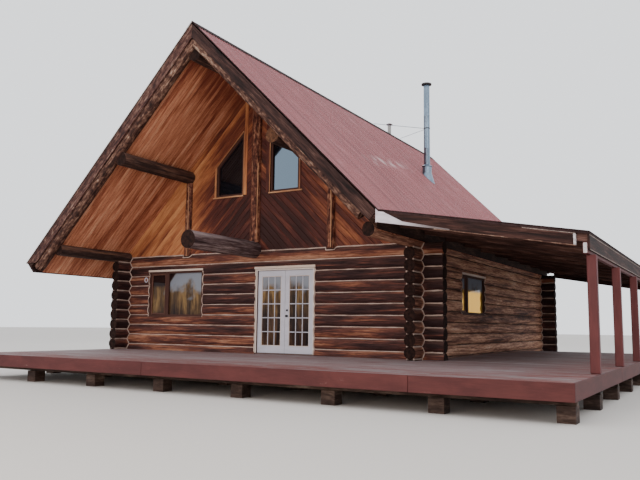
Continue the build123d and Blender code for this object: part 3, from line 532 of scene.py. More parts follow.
# a lighter, more orange copy of the log stain for the porch side wall and its plate log: painted bounce light
# under the porch roof
porchLogLook = dict(logLook, stops=[
    (0.28, (0.062, 0.026, 0.020)), (0.44, (0.25, 0.110, 0.074)),
    (0.56, (0.52, 0.270, 0.170)), (0.68, (0.72, 0.44, 0.30)), (0.82, (0.80, 0.58, 0.45)),
])
rakeLogLook = dict(logLook, toneSpread=0.3, patchScale=6.5, patchStretch=(1.1, 2.2, 2.2), stops=[
    (0.34, (0.020, 0.010, 0.009)), (0.47, (0.058, 0.026, 0.021)),
    (0.58, (0.125, 0.062, 0.044)), (0.69, (0.25, 0.148, 0.108)), (0.82, (0.44, 0.33, 0.26)),
])
postLook = dict(rakeLogLook, toneSpread=0.1, stops=[
    (0.34, (0.034, 0.012, 0.010)), (0.47, (0.090, 0.030, 0.022)),
    (0.57, (0.18, 0.066, 0.042)), (0.67, (0.33, 0.15, 0.090)), (0.80, (0.52, 0.34, 0.23)),
])
bargeLook = dict(rakeLogLook, weatherAmount=0.1, stops=[
    (0.30, (0.012, 0.006, 0.007)), (0.46, (0.040, 0.017, 0.016)),
    (0.58, (0.090, 0.038, 0.031)), (0.70, (0.165, 0.090, 0.070)), (0.84, (0.30, 0.21, 0.17)),
])
darkBargeLook = dict(bargeLook, patchScale=2.6, patchStretch=(0.5, 3.5, 3.5), stops=[
    (0.30, (0.010, 0.005, 0.005)), (0.46, (0.029, 0.013, 0.012)),
    (0.60, (0.056, 0.026, 0.022)), (0.82, (0.125, 0.072, 0.058)),
])
gableLook = {
    "patchScale": 0.8, "patchStretch": (0.7, 3.0, 3.0), "fibreScale": 12.0, "fibreStretch": (0.35, 8, 8),
    "streak": 0.30, "toneSpread": 0.62, "fibreDark": (0.70, 0.62, 0.58), "roughness": 0.62, "bump": 0.22,
    "stops": [
        (0.20, (0.030, 0.010, 0.009)), (0.36, (0.070, 0.019, 0.015)), (0.50, (0.17, 0.050, 0.026)),
        (0.66, (0.36, 0.135, 0.058)), (0.86, (0.56, 0.27, 0.12)),
    ],
}
soffitLook = dict(gableLook, toneSpread=0.20, fibreDark=(0.66, 0.55, 0.50), stops=[
    (0.28, (0.20, 0.055, 0.034)), (0.42, (0.40, 0.146, 0.080)),
    (0.56, (0.61, 0.27, 0.155)), (0.80, (0.78, 0.46, 0.30)),
])
roughLook = dict(logLook, stops=[
    (0.30, (0.020, 0.012, 0.010)), (0.50, (0.050, 0.031, 0.025)),
    (0.65, (0.10, 0.067, 0.053)), (0.82, (0.18, 0.13, 0.105)),
], grain=False, toneSpread=0.0, patchStretch=(1, 1, 4), fibreStretch=(1, 1, 6), weatherAmount=0.3)
trimLook = dict(gableLook, toneSpread=0.2, stops=[
    (0.30, (0.20, 0.080, 0.040)), (0.50, (0.36, 0.17, 0.085)),
    (0.66, (0.50, 0.28, 0.155)), (0.82, (0.62, 0.40, 0.25)),
])
edgeLook = dict(logLook, toneSpread=0.12, patchScale=1.8, fibreStretch=(0.4, 7, 7), stops=[
    (0.30, (0.020, 0.008, 0.007)), (0.48, (0.046, 0.018, 0.014)),
    (0.62, (0.098, 0.042, 0.031)), (0.78, (0.21, 0.12, 0.090)),
], weatherAmount=0.15)

logWood = woodMaterial("stained_log", logLook)
darkLogWood = woodMaterial("dark_roof_log", darkLogLook)
porchLogWood = woodMaterial("porch_side_log", porchLogLook)
beamWood = woodMaterial("grey_beam_log", beamLook)
rakeWood = woodMaterial("weathered_rake_log", rakeLogLook)
postWood = woodMaterial("gable_post_log", postLook)
bargeWood = woodMaterial("dark_barge_board", bargeLook)
darkBargeWood = woodMaterial("shaded_barge_board", darkBargeLook)
logEnd = endGrainMaterial("log_end_grain", (0.004, 0.002, 0.002), (0.030, 0.013, 0.010))
paleEnd = endGrainMaterial("peeled_end_grain", (0.018, 0.008, 0.006), (0.125, 0.054, 0.028))
gableWood = woodMaterial("gable_board_stain", gableLook)
soffitWood = woodMaterial("soffit_board_stain", soffitLook)
trimWood = woodMaterial("pale_trim_wood", trimLook)
roughWood = woodMaterial("rough_sawn_timber", roughLook)
porchWood = woodMaterial("dark_porch_timber", dict(edgeLook, stops=[
    (0.30, (0.028, 0.014, 0.012)), (0.48, (0.066, 0.031, 0.027)),
    (0.62, (0.125, 0.062, 0.050)), (0.80, (0.25, 0.14, 0.115)),
]))
porchEdgeWood = woodMaterial("porch_edge_board", dict(edgeLook, stops=[
    (0.30, (0.012, 0.006, 0.006)), (0.48, (0.032, 0.013, 0.011)),
    (0.62, (0.070, 0.030, 0.024)), (0.78, (0.155, 0.090, 0.072)),
]))
sashWood = woodMaterial("brown_sash", dict(edgeLook, stops=[
    (0.30, (0.050, 0.022, 0.018)), (0.48, (0.095, 0.042, 0.033)),
    (0.62, (0.15, 0.068, 0.050)), (0.80, (0.22, 0.12, 0.09)),
]))
sheathing = woodMaterial("dark_sheathing", dict(roughLook, stops=[
    (0.30, (0.018, 0.009, 0.007)), (0.50, (0.042, 0.020, 0.016)),
    (0.65, (0.080, 0.042, 0.032)), (0.82, (0.15, 0.085, 0.065)),
]))
chinkFill = paintMaterial("chinking", {
    "tint": (0.54, 0.42, 0.36), "shade": (0.29, 0.20, 0.17), "under": (0.20, 0.12, 0.10), "scuffFrom": 0.60,
    "roughness": 0.8, "bump": 0.3, "slowScale": 3.0,
})
# a dark chinking for the porch side wall
darkChink = paintMaterial("dark_porch_chinking", {
    "tint": (0.040, 0.024, 0.018), "shade": (0.020, 0.012, 0.009),
    "under": (0.10, 0.06, 0.045), "scuffFrom": 0.66,
    "roughness": 0.85, "bump": 0.3, "slowScale": 3.0,
})
redPaint = paintMaterial("red_brown_paint", {
    "tint": (0.116, 0.029, 0.029), "shade": (0.084, 0.021, 0.022),
    "under": (0.17, 0.080, 0.070), "scuffFrom": 0.70,
    "roughness": 0.6, "bump": 0.2,
})
fasciaPaint = paintMaterial("deck_edge_paint", {
    "tint": (0.092, 0.023, 0.022), "shade": (0.062, 0.015, 0.015),
    "under": (0.17, 0.095, 0.085), "scuffFrom": 0.66,
    "roughness": 0.62, "bump": 0.25,
})
deckPaint = paintMaterial("worn_deck_paint", {
    "tint": (0.190, 0.088, 0.082), "shade": (0.135, 0.045, 0.042), "under": (0.195, 0.150, 0.152),
    "scuffFrom": 0.50, "scuffScale": 1.4, "scuffStretch": (0.5, 1.6, 1.6), "roughness": 0.7, "bump": 0.3,
    "walkedAndShaded": (0.25, 0.205, 0.21),                # bare greyed wood where walked, and the grey cast of shade painted in, away from the open edges
    "walkedShadeX": (8.3, 6.6), "walkedShadeY": (-4.2, -2.6),
})
whitePaint = paintMaterial("white_door_paint", {
    "tint": (0.47, 0.46, 0.53), "shade": (0.41, 0.40, 0.46), "under": (0.36, 0.33, 0.33), "scuffFrom": 0.74,
    "roughness": 0.42, "bump": 0.06, "fine": (0.95, 0.95, 0.95), "grain": False, "gloss": 0.3,
})
palePutty = paintMaterial("pale_putty_paint", {
    "tint": (0.66, 0.55, 0.48), "shade": (0.52, 0.40, 0.34), "under": (0.33, 0.21, 0.17), "scuffFrom": 0.66,
    "roughness": 0.6, "bump": 0.15, "fine": (0.85, 0.83, 0.80),
})
jambPaint = jambMaterial("door_jamb_paint")
flashingPaint = flashingMaterial("porch_flashing_sheet", (5.40, 6.2))
roofEnamel = roofMetalMaterial("faded_red_roofing", {
    "tint": (0.425, 0.130, 0.142), "shade": (0.355, 0.095, 0.104),
    "chalk": (0.47, 0.215, 0.228), "dirt": (0.12, 0.033, 0.036), "rubbed": (0.62, 0.50, 0.50),
    "rubbedPlace": (3.56, 22.6),                  # its run down the slope, and Y + 20
    "rubbedSlant": 0.28, "rubbedLength": (2.5, 0.6), "rubbedWidth": (0.30, 0.05),
})
darkTrim = metalMaterial("dark_brown_trim", (0.040, 0.022, 0.022), (0.016, 0.009, 0.009), 0.8, 0.0, 0.06)
edgeTrim = metalMaterial("rake_edge_metal", (0.30, 0.245, 0.22), (0.16, 0.12, 0.11), 0.5, 0.1)
paleEdge = metalMaterial("pale_edge_line", (0.27, 0.215, 0.19), (0.075, 0.050, 0.042), 0.8, 0.0, 0.1)
galvanised = metalMaterial("galvanised_steel", (0.22, 0.285, 0.36), (0.12, 0.155, 0.20), 0.35)
paleFlashing = metalMaterial("pale_flashing", (0.55, 0.52, 0.53), (0.30, 0.27, 0.28), 0.55, 0.2)
capMetal = metalMaterial("sooted_cap", (0.06, 0.055, 0.055), (0.02, 0.018, 0.018), 0.6, 0.6)
ventPipe = metalMaterial("vent_pipe_sheet", (0.36, 0.35, 0.34), (0.20, 0.19, 0.18), 0.6, 0.2)
ventCap = metalMaterial("vent_cap_sheet", (0.15, 0.075, 0.070), (0.07, 0.035, 0.033), 0.6, 0.1)
blackHardware = metalMaterial("black_hardware", (0.03, 0.03, 0.032), (0.012, 0.012, 0.013), 0.35, 0.8)
paneGlass = glassMaterial("window_glass", {
    # brown and gold: painted tree reflections; sky: painted sky reflection; shade: painted shadow; loft:
    # painted dark room; porch: painted gold reflection; the mirror tints colour the reflections to match
    "brown": [(0.38, (0.008, 0.004, 0.004)), (0.53, (0.034, 0.016, 0.010)), (0.66, (0.080, 0.042, 0.020))],
    "gold": [(0.36, (0.022, 0.013, 0.009)), (0.50, (0.075, 0.042, 0.018)), (0.66, (0.20, 0.12, 0.045))],
    "shade": (0.014, 0.007, 0.007), "sky": (0.17, 0.185, 0.22),
    "loft": (0.004, 0.004, 0.006), "porch": (0.78, 0.47, 0.13),
    "mirror": (0.95, 0.90, 0.88), "porchMirror": (1.0, 0.72, 0.30), "loftMirror": (0.52, 0.74, 1.0),
    # heights above the ground where one part of the panes gives way to the next
    "goldFrom": (1.45, 1.95), "skyReflectionFrom": (2.06, 2.34), "shadeFrom": (2.22, 2.34),
    "porchBelow": (2.26, 2.14), "loftFrom": (3.0, 4.0),
    # along X: where the porch side's painted gold reflection begins, and the line of the painted shadow in
    # the corner, which leans with height
    "porchFrom": (4.0, 4.3), "shadowLine": (-4.93, -4.85), "shadowSlant": -0.84,
})
concrete = stoneMaterial("cast_concrete", (0.42, 0.40, 0.38), (0.27, 0.25, 0.235))
print("materials made")


# Camera, light and floor

shot = {
    "place": (10.414, -14.162, 1.257), "yaw": 30.88, "rise": 7.065, "roll": 0.685, "lens": 38.94,
}


def makeCamera():
    data = bpy.data.cameras.new("camera")
    data.lens, data.sensor_width = shot["lens"], 36.0
    data.clip_end = 400.0
    camera = bpy.data.objects.new("camera", data)
    camera.location = shot["place"]
    turn = Euler((0, 0, radians(shot["yaw"]))).to_matrix()
    rise = Euler((radians(90 + shot["rise"]), 0, 0)).to_matrix()
    roll = Euler((0, 0, radians(shot["roll"]))).to_matrix()
    camera.rotation_euler = (turn @ rise @ roll).to_euler()
    bpy.context.scene.collection.objects.link(camera)
    bpy.context.scene.camera = camera


studio = {
    "sky": (0.94, 0.965, 1.0), "skyStrength": 1.65, "floor": (0.55, 0.52, 0.49), "floorReach": 150.0,
    "lamps": [
        # place, target, size, power, tint
        ((-10, -22, 10.6), (0, 0, 4), 14, 1500, (1.0, 0.93, 0.85)),
        ((20, -12, 16), (2, 3, 3), 12, 1200, (1.0, 0.98, 0.96)),
        ((-14, 26, 16), (0, 6, 3), 14, 1300, (0.95, 0.97, 1.0)),
        ((5, -17, 0.9), (-3, -1, 5.5), 7, 1500, (1.0, 0.80, 0.62)),
    ],
}


def makeStudio():
    world = bpy.data.worlds.new("studio")
    bpy.context.scene.world = world
    world.use_nodes = True
    background = world.node_tree.nodes["Background"]
    background.inputs["Color"].default_value = colour(studio["sky"])
    background.inputs["Strength"].default_value = studio["skyStrength"]
    for number, (place, target, size, power, tint) in enumerate(studio["lamps"]):
        data = bpy.data.lights.new(f"lamp_{number}", "AREA")
        data.size, data.energy, data.color = size, power, tint
        lamp = bpy.data.objects.new(f"lamp_{number}", data)
        lamp.location = place
        away = np.array(place, float) - np.array(target, float)
        lamp.rotation_euler = Euler((
            np.arctan2(np.hypot(away[0], away[1]), away[2]), 0, np.arctan2(away[1], away[0]) + pi / 2,
        ))
        bpy.context.scene.collection.objects.link(lamp)
    reach = studio["floorReach"]
    mesh = bpy.data.meshes.new("studio_floor")
    corners = [(-reach, -reach, 0), (reach, -reach, 0), (reach, reach, 0), (-reach, reach, 0)]
    mesh.from_pydata(corners, [], [(0, 1, 2, 3)])
    material, tree, shader = newMaterial("studio_floor")
    soft = noise(tree, objectSpace(tree), 0.15, 3)
    floorTint = mixColour(tree, soft, studio["floor"], tuple(0.96 * c for c in studio["floor"]))
    tree.links.new(floorTint, shader.inputs["Base Color"])
    shader.inputs["Roughness"].default_value = 0.9
    mesh.materials.append(material)
    floor = bpy.data.objects.new("studio_floor", mesh)
    bpy.context.scene.collection.objects.link(floor)


makeCamera()
makeStudio()
print("camera and studio made")


# Logs

logShape = {
    "around": 22, "step": 0.085, "bedOverlap": 0.026, "power": 2.25, "wobble": 0.0045,
    "roundReach": 0.42, "roundFade": 0.1, "knots": 5, "knotSize": 0.035, "knotHeight": 0.007,
    "endShares": (0.0, 0.45, 0.88), "endDish": 0.004,
    # change of tone past the crossing wall, and the range over the end walls' top course
    "leftEndTone": -0.3, "endTone": -0.7, "topTone": 0.05, "topSpread": 1.4, "topRange": (-0.9, 0.75),
}


def logPatch(origin, axis, up, length, width, height, seed, power=2.0, roundEnds=(False, False),
             clamps=(), wobble=1.0, tone=None, step=logShape["step"], capFinish=1):
    # a log: a ring |b/width|^power + |c/height|^power = 1 carried along its axis, its radius
    # changed by ripples and knots; at a free end the ring turns back to a circle, and clamps
    # cut flats below or above a height
    roll = dice(seed)
    axis, up = np.array(axis, float), np.array(up, float)
    stations = np.linspace(0, length, max(3, int(round(length / step))) + 1)
    breaks = [s for lo, hi, _, _ in clamps for s in (lo - 0.001, lo, hi, hi + 0.001) if 0 < s < length]
    stations = np.unique(np.concatenate([stations, breaks]))
    angle = np.arange(logShape["around"]) * 2 * pi / logShape["around"]
    s, a = np.meshgrid(stations, angle, indexing="ij")
    loose = np.zeros_like(s)
    for isRound, far in zip(roundEnds, (s, length - s)):
        if isRound:
            loose = np.maximum(loose, np.clip((logShape["roundReach"] - far) / logShape["roundFade"], 0, 1))
    n = power + (2.0 - power) * loose
    tall = height + (width - height) * loose
    radius = 1 / ((np.abs(np.cos(a)) / width) ** n + (np.abs(np.sin(a)) / tall) ** n) ** (1 / n)
    uneven = ripple(s, a, roll) * logShape["wobble"]
    for _ in range(logShape["knots"]):
        place, turn = roll.uniform(0.1, max(0.2, length - 0.1)), roll.uniform(0, 2 * pi)
        gap = np.abs((a - turn + pi) % (2 * pi) - pi) * width
        far = ((s - place) ** 2 + gap ** 2) / logShape["knotSize"] ** 2
        uneven += np.exp(-far) * logShape["knotHeight"]
    radius = radius + uneven * wobble
    b, c = radius * np.cos(a), radius * np.sin(a)
    for lo, hi, kind, value in clamps:
        inside = (s >= lo - 1e-6) & (s <= hi + 1e-6)
        c = np.where(inside, np.minimum(c, value) if kind == "below" else np.maximum(c, value), c)

    def endRows(row, shares):
        dishes = [logShape["endDish"] * (1 - share) * roll.uniform(-1, 1) for share in shares]
        return [(b[row] * share, c[row] * share, s[row] + dish) for share, dish in zip(shares, dishes)]

    shares = logShape["endShares"]
    rows = [*endRows(0, shares), *zip(b, c, s), *endRows(-1, shares[::-1])]
    b, c, s = (np.stack(values) for values in zip(*rows))
    points = s[..., None] * axis + b[..., None] * np.cross(up, axis) + c[..., None] * up
    points = points + np.array(origin, float)
    grain = np.stack([s + roll.uniform(-40, 40), b, c], -1)
    part = patch(points, grain, roll.uniform(0, 1) if tone is None else tone, "pole", capFinish=capFinish)
    part["capRows"] = len(shares) - 1
    return part


def without(spans, low, high, shortest):
    # the spans less the stretch from low to high, dropping what gets too short
    pieces = [piece for a, b in spans for piece in ((a, min(b, low)), (max(a, high), b))]
    return [(a, b) for a, b in pieces if b - a > shortest]


def wallSpans(low, high, z, holes):
    # the lengths of a wall log between its openings, each with the flats that an opening's
    # sill or head cuts into it
    half = house["half"]
    spans, flats = [(low, high)], []
    for lo, hi, z0, z1 in holes:
        if z0 >= z + half or z1 <= z - half:
            continue
        if z0 < z - 0.6 * half and z1 > z + 0.6 * half:
            spans = without(spans, lo, hi, 0.02)
        elif z1 > z + half:
            flats.append((lo, hi, "below", z0 - z))
        else:
            flats.append((lo, hi, "above", z1 - z))
    return spans, flats


def wallLogs(name, along, line, holes, replaces, seed, wood):
    # one wall's logs, course by course: the side walls start half a course lower, on a flat.
    # The ends beyond the crossing wall are darker, and the end walls' top course is orange
    # below and grey above
    half, isEnd = house["half"], along == "X"
    low, high, first = -house["logEnd"], house["logEnd"], house["base"] + half
    if not isEnd:
        low, high, first = -house["crossing"], house["length"] + house["crossing"], house["base"]
    middle, reach = (low + high) / 2, (high - low) / 2 - house["crossing"]
    parts = []
    for number in range(house["courses"]):
        z = first + number * house["course"]
        spans, flats = wallSpans(low, high, z, holes)
        if not isEnd and number == 0:
            flats.append((low, high, "above", 0.001))
        for start, end in spans:
            clamps = [(max(lo, start) - start, min(hi, end) - start, kind, value)
                      for lo, hi, kind, value in flats if hi > start and lo < end]
            origin, axis = ((start, line, z), (1, 0, 0)) if isEnd else ((line, start, z), (0, 1, 0))
            part = logPatch(
                origin, axis, (0, 0, 1), end - start, half, half + logShape["bedOverlap"],
                seed + number * 7 + int(start * 3), logShape["power"], (start == low, end == high), clamps,
            )
            place = part["points"] @ axis - middle
            change = np.where((place < 0) & isEnd, logShape["leftEndTone"], logShape["endTone"])
            change = change * np.clip((np.abs(place) - reach) / 0.05, 0, 1)
            if isEnd and number == house["courses"] - 1:
                under = (z - part["points"][..., 2]) / half
                lighter = logShape["topTone"] + logShape["topSpread"] * under
                change = change + np.clip(lighter, *logShape["topRange"])
            part["tone"] = part["tone"] + change
            parts.append(part)
    makePiece(name, parts, [wood, logEnd], replaces=replaces)


def makeWalls():
    side, length, half = house["sideLine"], house["length"], house["half"]
    for name, along, line, holes, pieces, seed, wood in (
        ("front_wall", "X", half, [windowHoles["front"], doorHole],
         ["_left", "_middle", "_right", "_sill", "_top"], 100, logWood),
        ("rear_wall", "X", length - half, [windowHoles["rear"]], [""], 200, logWood),
        # the porch side wall takes the lighter copy of the log stain: painted light
        ("right_wall", "Y", side, [windowHoles["right"]], ["_front", "_rear", "_sill", "_top"], 300,
         porchLogWood),
        ("left_wall", "Y", -side, [windowHoles["left"]], [""], 400, logWood),
    ):
        wallLogs(f"{name}_logs", along, line, holes, [name + piece for piece in pieces], seed, wood)
    # the right plate log takes the lighter porch side copy: painted light
    for sign, node, wood in ((-1, "plate_log_left", darkLogWood), (1, "plate_log_right", porchLogWood)):
        low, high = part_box(node)
        part = logPatch((sign * side, low.y, house["wallTop"]), (0, 1, 0), (0, 0, 1), high.y - low.y,
                        half, half + 0.01, 500 + sign, 2.1, tone=0.5)
        makePiece(f"{node}_hewn", [part], [wood, logEnd], replaces=[node])


makeWalls()
print("walls laid")


# Chinking

chink = {
    "behind": 0.055, "out": 0.016, "high": 0.017, "step": 0.11, "waver": 0.006, "around": 8,
    "short": 0.03,                                # ends before the logs do
    "cornerStep": 0.0165, "cornerSize": (0.014, 0.012), "proud": 0.004,
}
seal = {
    "reach": 4.42, "rise": 0.006, "inset": 0.03, "size": (0.016, 0.012), "step": 0.02,
    "footWidth": 0.155, "footFade": 0.05, "footDip": 0.075, "footOut": 0.05,
    "window": 0.014, "door": 0.021,
}


def logFace(z, axis):
    # how far behind its outermost line a wall's face lies at height z; axis is the height of
    # any one of its logs
    n, tall = logShape["power"], house["half"] + logShape["bedOverlap"]
    away = np.abs((z - axis + house["half"]) % house["course"] - house["half"])
    return house["half"] * (1 - (1 - (away / tall) ** n) ** (1 / n))


def frontFace(z):
    return logFace(z, house["base"] + house["half"])


def sideFace(z):
    return logFace(z, house["base"])


def bead(path, outward, high, out, roll, tone=0.5):
    # a soft oval ring carried along a path, swelling and shrinking a little
    path = np.asarray(path, float)
    outward = np.broadcast_to(np.asarray(outward, float), path.shape)
    along = np.gradient(path, axis=0)
    across = np.cross(along, outward)
    across /= np.linalg.norm(across, axis=1, keepdims=True)
    far = np.concatenate([[0], np.cumsum(np.linalg.norm(np.diff(path, axis=0), axis=1))])
    turn = np.arange(chink["around"]) * 2 * pi / chink["around"]
    swell = (1 + 0.32 * ripple(far, 0.0, roll, 7, 0.8))[:, None, None]
    ring = np.cos(turn)[:, None] * out * outward[:, None] + np.sin(turn)[:, None] * high * across[:, None]
    points = path[:, None] + ring * swell
    grain = np.stack(np.broadcast_arrays(far[:, None] + roll.uniform(-30, 30), turn * 0.02, 0.0 * turn), -1)
    return patch(points, grain, tone)


def openSpans(low, high, z, holes):
    spans = [(low, high)]
    for lo, hi, z0, z1 in holes:
        if z0 < z < z1:
            spans = without(spans, lo, hi, 0.05)
    return spans


def jointBead(along, line, outward, z, low, high, roll):
    # the bead in one bed joint, `line` across the wall and `outward` its sign
    a = np.linspace(low, high, max(3, int((high - low) / chink["step"])))
    rise = z + chink["waver"] * ripple(a, 0.0, roll, 6, 1.6)
    across = line - outward * chink["behind"] + np.zeros_like(a)
    path, facing = [a, across, rise], (0, outward, 0)
    if along == "Y":
        path, facing = [across, a, rise], (outward, 0, 0)
    return bead(np.stack(path, -1), facing, chink["high"], chink["out"], roll)


def makeChinking():
    # beads in the bed joints, inside and outside of the crossing ends, and in the corners
    roll = dice(71)
    side, length, course, base = house["side"], house["length"], house["course"], house["base"]
    end, past = house["logEnd"] - chink["short"], house["crossing"] - chink["short"]
    ends, sides, porchSide = [], [], []
    for face, sign, holes in (
        (0.0, -1, [windowHoles["front"], doorHole]), (length, 1, [windowHoles["rear"]]),
    ):
        for k in range(1, house["courses"]):
            z = base + k * course
            for low, high in openSpans(-end, end, z, holes):
                ends.append(jointBead("X", face, sign, z, low, high, roll))
            for low, high in ((-end, -side + 0.06), (side - 0.06, end)):
                ends.append(jointBead("X", face - sign * course, -sign, z, low, high, roll))
    for sign, hole, outer in ((1, windowHoles["right"], porchSide), (-1, windowHoles["left"], sides)):
        for k in range(house["courses"]):
            z = base + (k + 0.5) * course
            for low, high in openSpans(0.0, length + past, z, [hole]):
                outer.append(jointBead("Y", sign * side, sign, z, low, high, roll))
            sides.append(jointBead("Y", sign * side, sign, z, -past, 0.01, roll))
            for low, high in ((-past, 0.08), (length - 0.08, length + past)):
                sides.append(jointBead("Y", sign * (side - course), -sign, z, low, high, roll))
    z = np.arange(base + 0.02, house["wallTop"] - 0.004, chink["cornerStep"])
    outerX, innerX = side - sideFace(z), side - course + sideFace(z)
    for sign in (-1, 1):
        for face, out in ((0.0, -1), (length, 1)):
            outerY, innerY = face - out * frontFace(z), face - out * (course - frontFace(z))
            for x, y, xOut, yOut in (
                (innerX, outerY, -1, out), (outerX, outerY, 1, out), (outerX, innerY, 1, -out),
            ):
                outward = np.array([sign * xOut, yOut, 0.0]) / sqrt(2)
                path = [sign * (x + chink["proud"] * xOut), y + chink["proud"] * yOut, z]
                ends.append(bead(np.stack(path, -1), outward, *chink["cornerSize"], roll))
    makePiece("chinking_front_rear", ends, [chinkFill], smooth=60)
    makePiece("chinking_sides", sides, [chinkFill], smooth=60)
    makePiece("chinking_porch_side", porchSide, [darkChink], smooth=60)


def makeSeals():
    # the line along the top of the end walls, dipping under the posts' feet, and the filler
    # beside the windows and the door
    roll = dice(72)
    parts = []
    top, inset, window = house["wallTop"], seal["inset"], seal["window"]
    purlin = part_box("purlin_right")
    post = (purlin[0].x + purlin[1].x) / 2
    x = np.linspace(-seal["reach"], seal["reach"], 300)
    away = np.minimum(np.abs(x - post), np.abs(x + post))
    dip = np.clip((seal["footWidth"] - away) / seal["footFade"], 0, 1)
    dip = dip * dip * (3 - 2 * dip)
    for face, out, holes in (
        (0.0, -1, [(windowHoles["front"], window, window), (doorHole, 0.0, seal["door"])]),
        (house["length"], 1, [(windowHoles["rear"], window, window)]),
    ):
        z = top + seal["rise"] - seal["footDip"] * dip + seal["rise"] * ripple(x, 0.0, roll, 6, 2.0)
        depth = np.where(z > top, inset, np.minimum(frontFace(np.minimum(z, top)), inset))
        depth = depth - seal["footOut"] * dip
        parts.append(bead(np.stack([x, face - out * depth, z], -1), (0, out, 0), *seal["size"], roll))
        for (lo, hi, z0, z1), first, last in holes:
            z = np.arange(max(z0, house["deckTop"] + 0.02), z1, seal["step"])
            for edge, outer, size in ((lo, -1, first), (hi, 1, last)):
                if size:
                    across = edge + outer * size * 0.6 + 0 * z
                    path = [across, face - out * (frontFace(z) + chink["proud"]), z]
                    parts.append(bead(np.stack(path, -1), (0, out, 0), size, size * 0.8, roll))
    for sign, name in ((1, "right"), (-1, "left")):
        lo, hi, z0, z1 = windowHoles[name]
        z = np.arange(z0, z1, seal["step"])
        for edge, outer in ((lo, -1), (hi, 1)):
            path = [sign * (house["side"] - sideFace(z) - chink["proud"]), edge + outer * 0.008 + 0 * z, z]
            parts.append(bead(np.stack(path, -1), (sign, 0, 0), *chink["cornerSize"], roll))
    makePiece("wall_seals", parts, [chinkFill], smooth=60)


makeChinking()
makeSeals()
print("joints chinked")


def makeRoofLogs():
    # the long round logs under the roof
    for node, wood, end, seed, tone in (
        ("ridge_log", darkLogWood, logEnd, 610, 0.5), ("purlin_left", darkLogWood, logEnd, 620, 0.6),
        ("purlin_right", darkLogWood, paleEnd, 630, 0.6), ("centre_beam", beamWood, logEnd, 640, 0.5),
    ):
        low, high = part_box(node)
        radius = (high.z - low.z) / 2
        origin = ((low.x + high.x) / 2, low.y, (low.z + high.z) / 2)
        part = logPatch(origin, (0, 1, 0), (0, 0, 1), high.y - low.y, radius, radius, seed, wobble=1.3,
                        tone=tone)
        makePiece(f"{node}_peeled", [part], [wood, end], replaces=[node])


def onSlope(side, run, depth, y):
    # the point that lies run down the slope from the ridge and depth below its top
    x = run * cos(house["pitch"]) - depth * sin(house["pitch"])
    z = house["ridge"] - run * sin(house["pitch"]) - depth * cos(house["pitch"])
    return np.stack(np.broadcast_arrays(side * x, y, z), -1)


rake = {
    "logSize": 0.26, "logDrop": 0.445, "boardThickness": 0.038, "boardDepth": 0.285, "gap": 0.0004,
    "level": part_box("porch_roof")[1].z - 0.25,    # the right tails are cut level here
    "paler": {-1: 0.15, 1: 0.45},                 # change of tone near the ridge, left and right
}


def makeRakeLogs():
    # the weathered log under each rake, mitred at the ridge and paler near it
    rise, across = sin(house["pitch"]), cos(house["pitch"])
    radius = rake["logSize"] / 2
    depth = rake["logDrop"] - radius
    start = depth * tan(house["pitch"])
    inset = rake["boardThickness"] + rake["gap"] + radius
    for node, y in (
        ("rake_logs_front", house["rakeFront"] + inset), ("rake_logs_rear", house["rakeRear"] - inset),
    ):
        low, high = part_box(node)
        parts = []
        for side, endX in ((-1, -low.x), (1, high.x)):
            length = (endX + (depth - radius) * rise) / across - 0.02 - start
            axis, up = np.array([side * across, 0, -rise]), (side * rise, 0, across)
            part = logPatch(onSlope(side, start, depth, y), axis, up, length, radius, radius,
                            700 + side + int(y), wobble=1.5, tone=0.6, capFinish=0)
            points = part["points"]
            points += (np.maximum(0.0005 - points[..., 0] * side, 0) / across)[..., None] * axis
            near = np.clip((points[..., 2] - house["ridge"] + 1.5) / 0.9, 0, 1)
            part["tone"] = part["tone"] + rake["paler"][side] * near
            if side > 0:
                points -= (np.maximum(rake["level"] - points[..., 2], 0) / rise)[..., None] * axis
            parts.append(part)
        makePiece(f"{node}_peeled", parts, [rakeWood, logEnd], replaces=[node])


def makeGablePosts():
    # half-round posts on the gables, under the ridge log and the purlins, each with a pale strip down it as a
    # painted highlight
    roll = dice(75)
    parts, seams = [], []
    beamTop, ridgeBottom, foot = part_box("centre_beam")[1].z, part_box("ridge_log")[0].z, house["wallTop"]
    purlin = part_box("purlin_right")
    out, head = (purlin[0].x + purlin[1].x) / 2, purlin[0].z
    # place, radius, foot and head of the post and of its painted highlight strip, and how far round that
    # strip is
    posts = (
        (0, 0.145, beamTop - 0.02, ridgeBottom + 0.02, beamTop + 0.05, ridgeBottom - 1.9, 46),
        (-out, 0.11, foot - 0.03, head + 0.02, foot, head - 0.05, 20),
        (out, 0.11, foot - 0.03, head + 0.02, foot, head - 0.05, 20),
    )
    for face, outward in ((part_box("gable_front")[0].y, -1), (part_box("gable_rear")[1].y, 1)):
        for number, (x, radius, z0, z1, highlightFoot, highlightHead, swing) in enumerate(posts):
            parts.append(logPatch((x, face, z0), (0, 0, 1), (0, 1, 0), z1 - z0, radius, radius,
                                  800 + number + int(face), wobble=1.4, tone=0.75, step=0.06))
            # the pale strip down the post: a painted highlight
            z = np.arange(highlightFoot, highlightHead, 0.06)
            turn = radians(swing) + 0.05 * ripple(z, 0.0, roll, 5, 1.2)
            path = [x + radius * np.sin(turn), face + outward * radius * np.cos(turn), z]
            seams.append(bead(np.stack(path, -1), (0, outward, 0), 0.012, 0.007, roll, 0.8))
    makePiece("gable_post_logs", parts, [postWood, logEnd], replaces=["gable_posts"])
    makePiece("gable_post_highlights", seams, [trimWood], smooth=60)


makeRoofLogs()
makeRakeLogs()
makeGablePosts()
print("roof logs and posts set")


# Boards on the roof slopes and gables

